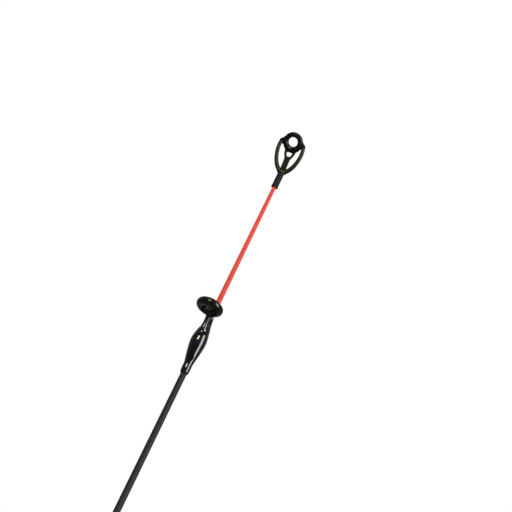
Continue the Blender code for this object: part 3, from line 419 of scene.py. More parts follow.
def turned(name, profile, steps=64, centre=(0.0, 0.0, 0.0), lean=0.0):
    """A turned piece from a closed profile, about an axis that leans back from upright."""
    rows = []
    for radius, height in profile:
        row = []
        for angle in around(steps):
            x, y = radius * math.cos(angle), radius * math.sin(angle)
            row.append((centre[0] + x, centre[1] + y * math.cos(lean) - height * math.sin(lean),
                        centre[2] + y * math.sin(lean) + height * math.cos(lean)))
        rows.append(row)
    return skin(name, rows)


def make_ribs():
    """Olive-shaped ribs that stand round an axis."""
    tree, given, result = new_maker(
        "ribs", ("Count", "Int"), ("Circle Radius", "Float"), ("Rib Radius", "Float"),
        ("Rib Length", "Float"), ("Height", "Float"))
    ring = put(tree, "GeometryNodeMeshCircle", {
        "Vertices": given["Count"], "Radius": given["Circle Radius"]})
    olive = put(tree, "GeometryNodeMeshUVSphere", {
        "Segments": 12, "Rings": 12, "Radius": given["Rib Radius"]})
    half = calc(tree, "DIVIDE", calc(tree, "DIVIDE", given["Rib Length"], given["Rib Radius"]), 2.0)
    size = put(tree, "ShaderNodeCombineXYZ", {"X": 1.0, "Y": 1.0, "Z": half})
    ribs = put(tree, "GeometryNodeInstanceOnPoints", {
        "Points": ring.outputs["Mesh"], "Instance": olive.outputs["Mesh"],
        "Scale": size.outputs["Vector"]})
    return deliver(tree, given, result, lifted(tree, ribs.outputs["Instances"], given["Height"]))


rubber = new_finish("cap_rubber", (0.021, 0.021, 0.021), {"Specular IOR Level": 0.25},
                    (1.0, 1.0, 1.0), 3000.0, 120.0, (0.75, 1.30), (0.62, 0.80), 0.00004)
foam = new_finish("black_foam", (0.019, 0.019, 0.020), {"Specular IOR Level": 0.15},
                  (1.0, 1.0, 1.0), 2400.0, 300.0, (0.70, 1.45), (0.82, 0.95), 0.00012)

low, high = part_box("butt_cap")
cap_radius = high.x
CAP_FIT = 0.0003
cap_bore = butt_radius(low.z) + CAP_FIT
CAP_FLOOR = 0.008
CAP_RELIEF = 0.0005          # of the ribs over the cap's side
cap_side = cap_radius - CAP_RELIEF
CAP_COLLAR = 0.0149          # radius above the ribs
CAP_NECK = 0.0143            # radius of the groove in the collar
FINE_STEPS = 96              # sides of the wider turned pieces
cap = turned("rubber_cap", rounded([
    (0.0, CAP_FLOOR), (cap_bore, CAP_FLOOR, 0.0005), (cap_bore, high.z, 0.0004),
    (CAP_COLLAR, high.z, 0.0008), (CAP_COLLAR, 0.0212), (CAP_NECK, 0.0208), (CAP_NECK, 0.0200),
    (CAP_COLLAR, 0.0195), (cap_side, 0.0150, 0.004), (cap_side, 0.0060, 0.003),
    (0.0141, 0.0018, 0.003), (0.0118, 0.0), (0.0106, 0.0), (0.0102, 0.0006), (0.0092, 0.0006),
    (0.0088, 0.0), (0.0060, 0.0), (0.0056, 0.0006), (0.0046, 0.0006), (0.0042, 0.0), (0.0, 0.0)],
    0.0004), FINE_STEPS)
dress(cap, rubber, "cap_rubber", "handle", "butt_cap")
RIB_COUNT = 28
RIB_LENGTH = 0.0115
RIB_MIDDLE = 0.0104          # height of a rib's middle
RIB_INSET = 0.0006           # of a rib's own axis from the cap's side
RIB_ROOT = 0.0005            # what a rib's radius has beyond its relief
ribs = grown("cap_ribs", make_ribs(), {
    "Count": RIB_COUNT, "Circle Radius": cap_side - RIB_INSET, "Rib Radius": CAP_RELIEF + RIB_ROOT,
    "Rib Length": RIB_LENGTH, "Height": RIB_MIDDLE, "Finish": rubber})
dress(ribs, rubber, "cap_rubber", "handle")

low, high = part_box("stow_pad")
pad = turned("stow_pad_foam", rounded([
    (0.0, high.z - 0.0004), (0.004, high.z - 0.0004, 0.002), (0.006, high.z, 0.002),
    (high.x, high.z, 0.0008), (high.x, low.z, 0.0008), (0.0, low.z)], 0.0005), 48)
dress(pad, foam, "foam", "handle", "stow_pad")

# Grips: rings of cork, glued end to end, turned and sanded, between swells of closed-cell foam.
# The cork shows its glue lines, its dark pits and a slightly different tone in every ring.
CORK_RING = 0.0127
CORK_LINE = 0.016            # share of a ring that its glue line takes


def make_cork():
    """Granules, pits and glue lines, with a tone of its own for every ring."""
    material, tree = new_material("sanded_cork", {"Specular IOR Level": 0.2})
    place = surface_place(tree)
    height = put(tree, "ShaderNodeSeparateXYZ", {"Vector": place}).outputs["Z"]
    turn = calc(tree, "DIVIDE", height, CORK_RING)
    ring_tone = put(tree, "ShaderNodeTexWhiteNoise", {"W": calc(tree, "FLOOR", turn)},
                    noise_dimensions="1D").outputs["Value"]
    fine, broad = unevenness(tree, place, (1.0, 1.0, 0.8), 1500.0, 330.0)
    granules = put(tree, "ShaderNodeTexVoronoi", {"Vector": place, "Scale": 520.0}).outputs["Color"]
    granule_tone = put(tree, "ShaderNodeSeparateColor", {"Color": granules}).outputs[0]
    blend = calc(tree, "MULTIPLY", broad, 0.7)
    blend = calc(tree, "MULTIPLY_ADD", granule_tone, 0.22, blend)
    blend = calc(tree, "MULTIPLY_ADD", ring_tone, 0.16, blend)
    tones = put(tree, "ShaderNodeValToRGB", {"Fac": blend})
    for stop, position, colour in zip(tones.color_ramp.elements, (0.30, 0.78), (
            (0.33, 0.185, 0.085, 1.0), (0.72, 0.52, 0.31, 1.0))):
        stop.position = position
        stop.color = colour
    flattened = put(tree, "ShaderNodeVectorMath", {0: place, 1: (1.0, 1.0, 2.6)}, operation="MULTIPLY")
    pit_noise = put(tree, "ShaderNodeTexNoise", {
        "Vector": flattened.outputs["Vector"], "Scale": 420.0, "Detail": 2.0, "Roughness": 0.4})
    pits = spread(tree, pit_noise.outputs["Fac"], 0.0, 1.0, 0.635, 0.675)
    edge = calc(tree, "ABSOLUTE", calc(tree, "SUBTRACT", calc(tree, "FRACT", turn), 0.5))
    lines = spread(tree, edge, 0.0, 0.65, 0.5 - CORK_LINE, 0.5 - CORK_LINE / 3.0)
    dark = calc(tree, "MAXIMUM", pits, lines)
    colours = put(tree, "ShaderNodeMix", {
        "Factor": dark, 6: tones.outputs["Color"], 7: (0.085, 0.043, 0.020, 1.0)}, data_type="RGBA")
    finish(tree, colours.outputs[2], spread(tree, dark, 0.62, 0.92, 0.0, 1.0),
           calc(tree, "SUBTRACT", calc(tree, "MULTIPLY", fine, 0.25), dark), 0.00018)
    return material


cork = make_cork()
GRIP_SWELL = 0.0007
GRIP_EDGE = 0.0011           # over which a grip's two ends are eased
GLUE_LINE = 0.0003


def grip(name, node, material, slot, foot, top, swell, count):
    """A turned grip from its foot's radius to its top's, swelling in the middle."""
    low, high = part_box(node)
    length = high.z - low.z
    outside = []
    for part in shares(count):
        share = 1.0 - part
        outside.append((foot + (top - foot) * share + swell * math.sin(math.pi * share),
                        low.z + length * share))
    bore = butt_radius(low.z) + GLUE_LINE
    for end in (0, -1):
        outside[end] = (*outside[end], GRIP_EDGE)
    piece = turned(name, rounded(outside + [(bore, low.z), (bore, high.z)], 0.0003), FINE_STEPS)
    dress(piece, material, slot, "handle", node)


CORK_RADIUS = 0.0131
CHECK_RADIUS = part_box("winding_check")[1].x
REAR_SWELL_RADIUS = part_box("rear_grip_end")[1].x
grip("rear_foam_swell", "rear_grip_end", foam, "foam", REAR_SWELL_RADIUS, CORK_RADIUS, 0.0, 8)
grip("rear_cork_grip", "rear_grip", cork, "cork", CORK_RADIUS, CORK_RADIUS, GRIP_SWELL, 24)
grip("fore_cork_grip", "fore_grip", cork, "cork", CORK_RADIUS, CORK_RADIUS, GRIP_SWELL, 12)
grip("fore_foam_swell", "fore_grip_end", foam, "foam", CORK_RADIUS, CHECK_RADIUS, 0.0, 6)


# Trim rings and winding check: turned from aluminium bar, the rings with two fine grooves. The
# rings are glued at the reel seat's two ends and the check at the end of the fore grip.
def turns_up(tree, given):
    """The height up the rod, counted in turns of a pitch."""
    height = put(tree, "ShaderNodeSeparateXYZ", {"Vector": given["Vector"]}).outputs["Z"]
    return calc(tree, "DIVIDE", height, given["Pitch"])


def make_turning_marks():
    """Fine rings that a turning tool leaves round the rod's axis."""
    tree, given, result = new_group(
        "turning_marks", "ShaderNodeTree",
        (("Vector", "Vector"), ("Pitch", "Float")), (("Marks", "Float"),))
    streak = put(tree, "ShaderNodeTexNoise", {"W": turns_up(tree, given), "Scale": 1.0, "Detail": 3.0},
                 noise_dimensions="1D")
    tree.links.new(streak.outputs["Fac"], result["Marks"])
    return tree


turning_marks = make_turning_marks()


def new_metal(name, colour, roughness, pitch, depth):
    """A bare metal with turning or brush marks round the rod."""
    material, tree = new_material(name, {"Metallic": 1.0})
    place = surface_place(tree)
    marks = put(tree, "ShaderNodeGroup", {"Vector": place, "Pitch": pitch},
                node_tree=turning_marks).outputs["Marks"]
    broad = unevenness(tree, place, (1.0, 1.0, 1.0), 2500.0, 200.0)[1]
    finish(tree, scaled(tree, colour, spread(tree, broad, 0.9, 1.0)),
           spread(tree, marks, *roughness, 0.25, 0.75), marks, depth)
    return material


aluminium = new_metal("turned_aluminium", (0.56, 0.57, 0.59), (0.16, 0.34), 0.00012, 0.000004)
GROOVE = 0.0003
TRIM_EDGE = 0.0004

for name, node in (("rear_trim", "rear_trim_ring"), ("front_trim", "front_trim_ring")):
    low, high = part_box(node)
    bore = butt_radius(low.z) + GLUE_LINE
    outside = [(high.x - TRIM_EDGE, high.z), (high.x, high.z - TRIM_EDGE)]
    for share in (0.70, 0.30):
        middle = low.z + share * (high.z - low.z)
        outside += [(high.x, middle + GROOVE), (high.x - GROOVE, middle + GROOVE / 2.0),
                    (high.x - GROOVE, middle - GROOVE / 2.0), (high.x, middle - GROOVE)]
    outside += [(high.x, low.z + TRIM_EDGE), (high.x - TRIM_EDGE, low.z)]
    piece = turned(name, rounded(outside + [(bore, low.z), (bore, high.z)], 0.0001), FINE_STEPS)
    dress(piece, aluminium, "bright_aluminium", "handle", node)

low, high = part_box("winding_check")
bore = butt_radius(low.z) + GLUE_LINE
CHECK_WALL = 0.0012
check_top = bore + CHECK_WALL
piece = turned("turned_check", rounded([
    (check_top - 0.0005, high.z), (check_top, high.z - 0.0005, 0.0003),
    (check_top + 0.0001, low.z + 0.0038), (0.5 * (check_top + high.x), low.z + 0.0030, 0.0008),
    (high.x - 0.0007, low.z + 0.0019), (high.x, low.z + 0.0016, 0.0003), (high.x, low.z + 0.0005),
    (high.x - TRIM_EDGE, low.z), (bore, low.z), (bore, high.z)], 0.0002), FINE_STEPS)
dress(piece, aluminium, "bright_aluminium", "handle", "winding_check")

# Reel seat: one moulding of filled nylon with a flat bed for the reel's foot, a round thread for
# the lock nut and a keyway at the back that keeps the sliding hood from turning.
nylon = new_finish("seat_nylon", (0.020, 0.020, 0.022), {"Specular IOR Level": 0.40},
                   (1.0, 1.0, 1.0), 4200.0, 150.0, (0.85, 1.15), (0.34, 0.44), 0.000012)
SEAT_CREST = 0.0114
THREAD_ROOT = 0.0107
THREAD_PITCH = 0.0030
BED_HALF_WIDTH = 0.0060
BED_FACE = 0.0119
KEYWAY_HALF_WIDTH = 0.0020
KEYWAY_FLOOR = 0.0104
HOOD_TRAVEL = 0.021
POCKET_DEPTH = 0.014
BED_START = 0.002            # over the bottom of the fixed hood's pocket
BED_LAP = 0.003              # of the bed under the sliding hood at its lowest
KEYWAY_EASE = 0.0006         # under the sliding hood at its lowest
SEAT_EDGE = 0.0003
STEP_EDGE = 0.00002          # half the height that a step in the seat takes
CREASE = 0.002               # half the turn that an edge along the seat takes, in radians
SEAT_STEPS = 120
# Stations over one turn of the thread: (share of its pitch, share of its depth).
THREAD_SHAPE = ((0.02, 0.0), (0.10, 0.25), (0.20, 0.85), (0.28, 1.0), (0.48, 1.0), (0.56, 0.85),
                (0.66, 0.25), (0.74, 0.0), (0.94, 0.0))
low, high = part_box("reel_seat")
seat_low, seat_high = low.z, high.z
fixed_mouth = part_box("fixed_hood")[1].z
sliding_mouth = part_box("sliding_hood")[0].z
nut_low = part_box("lock_nut")[0].z
thread_low = nut_low - HOOD_TRAVEL - THREAD_PITCH
bed_low = fixed_mouth - POCKET_DEPTH + BED_START
bed_high = sliding_mouth - HOOD_TRAVEL + BED_LAP
keyway_low = sliding_mouth - HOOD_TRAVEL - KEYWAY_EASE
seat_bore = butt_radius(seat_low) + GLUE_LINE

stations = [(seat_low, SEAT_CREST - 0.0004), (seat_low + 0.0004, SEAT_CREST)]
for z in (bed_low, keyway_low, bed_high):
    stations += [(z - STEP_EDGE, SEAT_CREST), (z + STEP_EDGE, SEAT_CREST)]
stations += [(bed_low + step * (bed_high - bed_low) / 10.0 + 0.0001, SEAT_CREST) for step in range(1, 10)]
z = thread_low
while z < seat_high - THREAD_PITCH:
    stations += [(z + along * THREAD_PITCH, THREAD_ROOT + rise * (SEAT_CREST - THREAD_ROOT))
                 for along, rise in THREAD_SHAPE]
    z += THREAD_PITCH
stations += [(seat_high - SEAT_EDGE, THREAD_ROOT), (seat_high, THREAD_ROOT - SEAT_EDGE)]
stations.sort(key=lambda pair: pair[0])

bed_edge = math.asin(BED_HALF_WIDTH / BED_FACE)
keyway_edge = math.asin(KEYWAY_HALF_WIDTH / SEAT_CREST)
turns = around(SEAT_STEPS)
for middle, half in ((1.5 * math.pi, bed_edge), (0.5 * math.pi, keyway_edge)):
    turns += [middle + side * half + crease for side in (-1.0, 1.0) for crease in (-CREASE, CREASE)]
turns.sort()


def seat_row(z, radius):
    """One ring of points round the seat, flat at the bed and let in at the keyway."""
    row = []
    for angle in turns:
        here = radius
        from_bed = abs(angle - 1.5 * math.pi)
        from_key = abs(angle - 0.5 * math.pi)
        if bed_low < z < bed_high and from_bed < bed_edge:
            here = BED_FACE / math.cos(from_bed)
        if z > keyway_low and from_key < keyway_edge:
            here = min(radius, KEYWAY_FLOOR / math.cos(from_key))
        row.append(polar(angle, here, z))
    return row


rows = [seat_row(z, radius) for z, radius in stations]
rows += [ring_of(turns, seat_bore, seat_high), ring_of(turns, seat_bore, seat_low)]
seat = skin("moulded_seat", rows)
dress(seat, nylon, "seat_nylon", "handle", "reel_seat")

# Hoods: stainless steel cups pressed to a ring with a hollow lobe. One is fixed at the seat's
# foot, and the nut pushes the other down over the end of the reel's foot.
steel = new_metal("brushed_steel", (0.50, 0.50, 0.52), (0.22, 0.40), 0.00016, 0.000005)
HOOD_WALL = 0.0016
HOOD_GAP = 0.0003
LOBE_RADIUS = 0.0102
LOBE_OFFSET = 0.0095
POCKET_RADIUS = 0.0086
POCKET_TAPER = 0.94
POCKET_BLEND = 0.0006
HOOD_BLEND = 0.0016          # of the ring into the lobe
LOBE_NARROWING = 0.14        # of the lobe's radius, over the hood's length
LOBE_SHOULDER = 0.72         # share of the hood's length where the lobe starts to close
LOBE_FULLNESS = 2.4          # how late it closes


def softer_max(a, b, blend):
    """The larger of two distances, with an even passage from one to the other."""
    return 0.5 * (a + b + math.sqrt((a - b) ** 2 + blend ** 2))


def lobe_reach(angle, radius):
    """Distance from the rod's axis to the far side of a circle about the lobe's middle."""
    aside = angle + 0.5 * math.pi
    inside = radius ** 2 - (LOBE_OFFSET * math.sin(aside)) ** 2
    if inside <= 0.0:
        return 0.0
    return LOBE_OFFSET * math.cos(aside) + math.sqrt(inside)


def hood(name, node, body, turned_over):
    """A hood about its own ring; its mouth is at the bottom, or at the top when turned over."""
    low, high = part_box(node)
    length = high.z - low.z
    bore = SEAT_CREST + HOOD_GAP
    ring = bore + HOOD_WALL

    def row(along, outer, lobe, blend):
        z = high.z - along if turned_over else low.z + along
        return [polar(a, softer_max(outer, lobe_reach(a, lobe), blend) if lobe > 0.0 else outer, z)
                for a in around(FINE_STEPS)]

    rows = []
    for part in shares(12):
        share = 1.0 - part
        along = 0.0006 + share * (length - 0.0016)
        fall = max(0.0, (share - LOBE_SHOULDER) / (1.0 - LOBE_SHOULDER))
        lobe = LOBE_RADIUS * (1.0 - LOBE_NARROWING * share) * math.sqrt(
            max(0.0, 1.0 - fall ** LOBE_FULLNESS))
        rows.append(row(along, ring, lobe, HOOD_BLEND))
    rows += [row(0.0002, ring - 0.0001, LOBE_RADIUS - 0.0001, HOOD_BLEND),
             row(0.0, ring - 0.0004, LOBE_RADIUS - 0.0004, HOOD_BLEND),
             row(0.0, bore + 0.0003, POCKET_RADIUS + 0.0003, 0.0008),
             row(0.0003, bore, POCKET_RADIUS, POCKET_BLEND)]
    for share in shares(5)[1:]:
        rows.append(row(share * POCKET_DEPTH, bore,
                        POCKET_RADIUS * (1.0 - (1.0 - POCKET_TAPER) * share), POCKET_BLEND))
    rows += [row(along, reach, 0.0, 0.0) for along, reach in (
        (POCKET_DEPTH + 0.0001, bore), (length - 0.0003, bore), (length, bore + 0.0003),
        (length, ring - 0.0005), (length - 0.0003, ring - 0.0001))]
    piece = skin(name, rows)
    dress(piece, steel, "hood_steel", body, node)


hood("pressed_fixed_hood", "fixed_hood", "handle", True)
hood("pressed_sliding_hood", "sliding_hood", "seat_hood", False)

low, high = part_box("sliding_hood")
key_side = KEYWAY_HALF_WIDTH - HOOD_GAP
key_floor = KEYWAY_FLOOR + HOOD_GAP
key_top = SEAT_CREST + HOOD_GAP + HOOD_WALL / 2.0
rows = []
for z, inset in ((low.z + 0.0006, 0.0004), (low.z + 0.0009, 0.0), (high.z - 0.0009, 0.0),
                 (high.z - 0.0006, 0.0004)):
    x, y = key_side - inset, key_floor + inset
    rows.append([(x, y, z), (x, key_top, z), (-x, key_top, z), (-x, y, z)])
key = skin("hood_key", rows, loop=False, caps=((0, 1, 2, 3), (15, 14, 13, 12)))
dress(key, steel, "hood_steel", "seat_hood")

# Lock nut: a moulded nylon nut with twelve finger lobes. It runs on the seat's thread and pushes
# the sliding hood over the end of the reel's foot.
NUT_LOBES = 12
NUT_LOBE_DEPTH = 0.0008
low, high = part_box("lock_nut")
nut_radius = high.x
nut_bore = SEAT_CREST + HOOD_GAP
angles = around(16 * NUT_LOBES)


def nut_row(z, inset, depth):
    """One ring of points round the nut, let in by a depth between its lobes."""
    return [polar(a, nut_radius - inset - depth * (0.5 - 0.5 * math.cos(NUT_LOBES * a)), z)
            for a in angles]


NUT_BAND = 0.0022            # height of the plain band above the lobes
rows = [nut_row(high.z, 0.0007, 0.0), nut_row(high.z - 0.0003, 0.0002, 0.0),
        nut_row(high.z - 0.0006, 0.0, 0.0), nut_row(high.z - NUT_BAND + 0.0004, 0.0, 0.0),
        nut_row(high.z - NUT_BAND, 0.0003, NUT_LOBE_DEPTH * 0.5),
        nut_row(high.z - NUT_BAND - 0.0006, 0.0, NUT_LOBE_DEPTH)]
rows += [nut_row(low.z + along, inset, NUT_LOBE_DEPTH)
         for along, inset in ((0.0014, 0.0), (0.0008, 0.0001), (0.0003, 0.0004), (0.0, 0.0009))]
rows += [ring_of(angles, nut_bore + 0.0004, low.z), ring_of(angles, nut_bore, low.z + 0.0004),
         ring_of(angles, nut_bore, high.z - 0.0004), ring_of(angles, nut_bore + 0.0004, high.z)]
nut = skin("lobed_nut", rows)
dress(nut, nylon, "seat_nylon", "seat_nut", "lock_nut")


# Hook keeper: a small loop of steel wire on the blank above the grip, for parking the hook. Its
# feet lie under two bindings of black thread, sealed with epoxy; a third closes the tube's mouth.
def smooth_path(points, per_span):
    """Points of a smooth curve through the given ones."""
    ends = [points[0]] + list(points) + [points[-1]]
    path = []
    for i in range(1, len(ends) - 2):
        for t in shares(per_span)[:-1]:
            path.append(tuple(
                0.5 * (2.0 * b + (c - a) * t + (2.0 * a - 5.0 * b + 4.0 * c - d) * t ** 2
                       + (3.0 * b - a - 3.0 * c + d) * t ** 3)
                for a, b, c, d in zip(*ends[i - 1:i + 3])))
    path.append(tuple(points[-1]))
    return path


def make_bent_wire():
    """A round bar along a chain of edges, as thick as the points of the chain say."""
    tree, given, result = new_maker("bent_wire", ("Sides", "Int"))
    line = put(tree, "GeometryNodeMeshToCurve", {"Mesh": given["Geometry"]})
    thickness = put(tree, "GeometryNodeInputNamedAttribute", {"Name": "thickness"}, data_type="FLOAT")
    section = put(tree, "GeometryNodeCurvePrimitiveCircle", {
        "Resolution": given["Sides"], "Radius": 1.0})
    bar = put(tree, "GeometryNodeCurveToMesh", {
        "Curve": line.outputs["Curve"], "Profile Curve": section.outputs["Curve"],
        "Scale": thickness.outputs["Attribute"], "Fill Caps": True})
    return deliver(tree, given, result, bar.outputs["Mesh"])


bent_wire = make_bent_wire()
DOME_TURNS = (0.45, 0.85, 1.2, 1.45)         # stations over the round end of a bar, in radians


def wire(name, path, sides, material, round_ends=False):
    """A bar along (x, y, z, radius)."""
    path = [tuple(point) for point in path]
    if round_ends:
        for end, inner in ((0, 1), (-1, -2)):
            tip, radius = Vector(path[end][:3]), path[end][3]
            out = (tip - Vector(path[inner][:3])).normalized()
            dome = [(*(tip + out * radius * math.sin(a)), radius * math.cos(a))
                    for a in DOME_TURNS]
            path = dome[::-1] + path if end == 0 else path + dome
    start = bpy.data.meshes.new(name + "_line")
    start.from_pydata([point[:3] for point in path], [(i, i + 1) for i in range(len(path) - 1)], [])
    thickness = start.attributes.new("thickness", "FLOAT", "POINT")
    thickness.data.foreach_set("value", [point[3] for point in path])
    return grown(name, bent_wire, {"Sides": sides, "Finish": material}, start)


def make_thread_turns():
    """Turns of fine thread that lie side by side round the rod, softened by what covers them."""
    tree, given, result = new_group(
        "thread_turns", "ShaderNodeTree",
        (("Vector", "Vector"), ("Pitch", "Float")), (("Turns", "Float"),))
    wave = calc(tree, "SINE", calc(tree, "MULTIPLY", turns_up(tree, given), 2.0 * math.pi))
    tree.links.new(calc(tree, "MULTIPLY_ADD", wave, 0.5, 0.5), result["Turns"])
    return tree


thread_turns = make_thread_turns()


def new_gloss(name, colour, specular, roughness, pitch, depth):
    """A glossy skin of epoxy over turns of thread, darker in the dips between the turns: painted shade."""
    material, tree = new_material(name, {"Specular IOR Level": specular})
    place = surface_place(tree)
    turns = put(tree, "ShaderNodeGroup", {"Vector": place, "Pitch": pitch},
                node_tree=thread_turns).outputs["Turns"]
    broad = unevenness(tree, place, (1.0, 1.0, 0.4), 900.0, 160.0)[1]
    # Painted shade: the colour falls to 0.7 of itself in the dips between the turns.
    finish(tree, scaled(tree, colour, calc(tree, "MULTIPLY_ADD", turns, 0.3, 0.7)),
           spread(tree, broad, *roughness), calc(tree, "MULTIPLY_ADD", turns, 0.15, broad), depth)
    return material


epoxy = new_gloss("epoxy_on_thread", (0.0024, 0.0026, 0.0026), 0.11, (0.04, 0.07), 0.00024, 0.0000008)

KEEPER_WIRE = 0.0006
KEEPER_FOOT = 0.007
KEEPER_LOOP = 0.010
KEEPER_RISE = 0.0040
BINDING_WALL = 0.0006
BINDING_LIP = 0.00005
MOUTH_LIP = 0.0001
RIDGE_TURN = 0.13            # half the width of the ridge over the keeper's foot, in radians
low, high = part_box("hook_keeper")
foot_y = high.y - KEEPER_WIRE
loop_path = []
for share in shares(48):
    along = share * (2.0 * KEEPER_FOOT + KEEPER_LOOP)
    inside = min(max((along - KEEPER_FOOT) / KEEPER_LOOP, 0.0), 1.0)
    loop_path.append((0.0, foot_y - KEEPER_RISE * math.sin(math.pi * inside) ** 2,
                      low.z + along, KEEPER_WIRE))
keeper = wire("keeper_loop", loop_path, 16, steel)
dress(keeper, steel, "hood_steel", "handle", "hook_keeper")


def tapered_ends(share, slope):
    """How full a whipping is at a share of its length: full but for its two ends."""
    return min(1.0, slope * share, slope * (1.0 - share)) ** 0.5


for name, node in (("lower_keeper_thread", "lower_keeper_binding"),
                   ("upper_keeper_thread", "upper_keeper_binding")):
    low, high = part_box(node)
    blank = butt_radius(low.z) + GLUE_LINE
    outer = blank + BINDING_WALL
    ridge = high.x - outer - 0.0001
    length = high.z - low.z
    rows = []
    for share in shares(14):
        z = high.z - share * length
        row = []
        for angle in around(FINE_STEPS):
            from_foot = math.remainder(angle - 1.5 * math.pi, 2.0 * math.pi)
            bump = ridge * math.exp(-(from_foot / RIDGE_TURN) ** 2)
            radius = blank + BINDING_LIP + (outer - blank + bump) * tapered_ends(share, 8.0)
            row.append(polar(angle, radius, z))
        rows.append(row)
    rows += [ring_of(around(FINE_STEPS), blank, z) for z in (low.z, high.z)]
    piece = skin(name, rows)
    dress(piece, epoxy, "black_epoxy", "handle", node)

low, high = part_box("mouth_binding")
bore = butt_radius(low.z) + GLUE_LINE
length = high.z - low.z
outside = []
for share in shares(16):
    outside.append((bore + MOUTH_LIP + (high.x - bore - MOUTH_LIP) * tapered_ends(share, 6.0),
                    high.z - share * length))
piece = turned("mouth_thread", outside + [(bore, low.z), (bore, high.z)], FINE_STEPS)
dress(piece, epoxy, "black_epoxy", "handle", "mouth_binding")

# Sections two to four: smaller tubes of the same carbon, each run into the one below as far as its
# guide allows.
rolled_section("section_2_blank", "section_2_tube", "section_2", 0.0008)
rolled_section("section_3_blank", "section_3_tube", "section_3", 0.0007)
rolled_section("section_4_blank", "section_4_tube", "section_4", 0.0007)

# Collar guides: a black coated collar with a welded web and two bowed legs that carry a ring,
# lined with polished ceramic. Four are glued at the mouths and two slide on their sections.
# The coating's warm specular tint is painted reflection: it makes every reflection on it brownish, as the
# red end nearby would.
coated = new_finish("black_coating", (0.0040, 0.0035, 0.0025),
                    {"Specular IOR Level": 0.022, "Specular Tint": (1.0, 0.97, 0.88, 1.0)},
                    (1.0, 1.0, 1.0), 2600.0, 420.0, (0.75, 1.30), (0.36, 0.48), 0.0000008)
ceramic = new_finish("polished_ceramic", (0.0050, 0.0050, 0.0046), {"Specular IOR Level": 0.05},
                     (1.0, 1.0, 1.0), 1800.0, 300.0, (0.85, 1.15), (0.24, 0.32), 0.0000003)
COLLAR_WALL = 0.0013
RING_WALL = 0.00208
RING_LINING = 0.0009
RING_HEIGHT = 0.0026
RING_LEAN = math.radians(8.0)
RING_STAND_OFF = 0.0038
LEG_RADIUS = 0.00065
WEB_HALF = 0.0007
WEB_FLARE = 1.25             # share of the web's thickness at its two ends
WEB_WAIST = 0.35             # what its middle has less
WEB_RISE = 0.6               # how early the web takes the ring's height
FINE_GAP = 0.00015
RING_STEPS = 72
WEB_STEPS = 24
WEB_TURN = 0.13              # of the web's first point round its axis, in radians
SIDES = ((-1.0, "left"), (1.0, "right"))
COLLAR_WAIST = 0.00035       # depth of the collar's middle under its two beads
COLLAR_BEAD = 0.0016
WEB_FOOT, WEB_TOP = 0.20, 0.85                   # shares of the collar's length
LEG_FOOT, LEG_BOW = 0.25, 0.30
LEG_TURN = math.radians(40.0)


def ring_part(name, shape, edge, lining, count):
    """The holder or the lining of a ring: an oval section, split at an edge and turned.

    shape is (bore, rim, height, steps, centre, lean)."""
    bore, rim, height, steps, centre, lean = shape
    turn = math.acos((2.0 * edge - bore - rim) / (rim - bore))
    start, end = (-turn, turn - 2.0 * math.pi) if lining else (turn, -turn)
    middle, half = (bore + rim) / 2.0, (rim - bore) / 2.0
    turns = [start + (end - start) * i / count for i in range(count + 1)]
    return turned(name, [(middle + half * math.cos(a), height / 2.0 * math.sin(a)) for a in turns],
                  steps, centre, lean)


def combine(base, other, operation):
    """Join another closed piece to the base, or cut it out of it."""
    step = base.modifiers.new(other.name, "BOOLEAN")
    step.operation = operation
    step.solver = "EXACT"
    step.object = other


def fuse(name, pieces):
    """One closed skin from overlapping closed pieces."""
    for other in pieces[1:]:
        combine(pieces[0], other, "UNION")
    mesh = shown_mesh(pieces[0], name)
    for item in pieces:
        bpy.data.objects.remove(item, do_unlink=True)
    mesh.materials.clear()
    tidy_mesh(mesh)
    return stand(name, mesh)


def squared(value):
    """Draw a cosine or a sine out, so that an oval gets fuller corners."""
    return math.copysign(abs(value) ** 0.5, value)


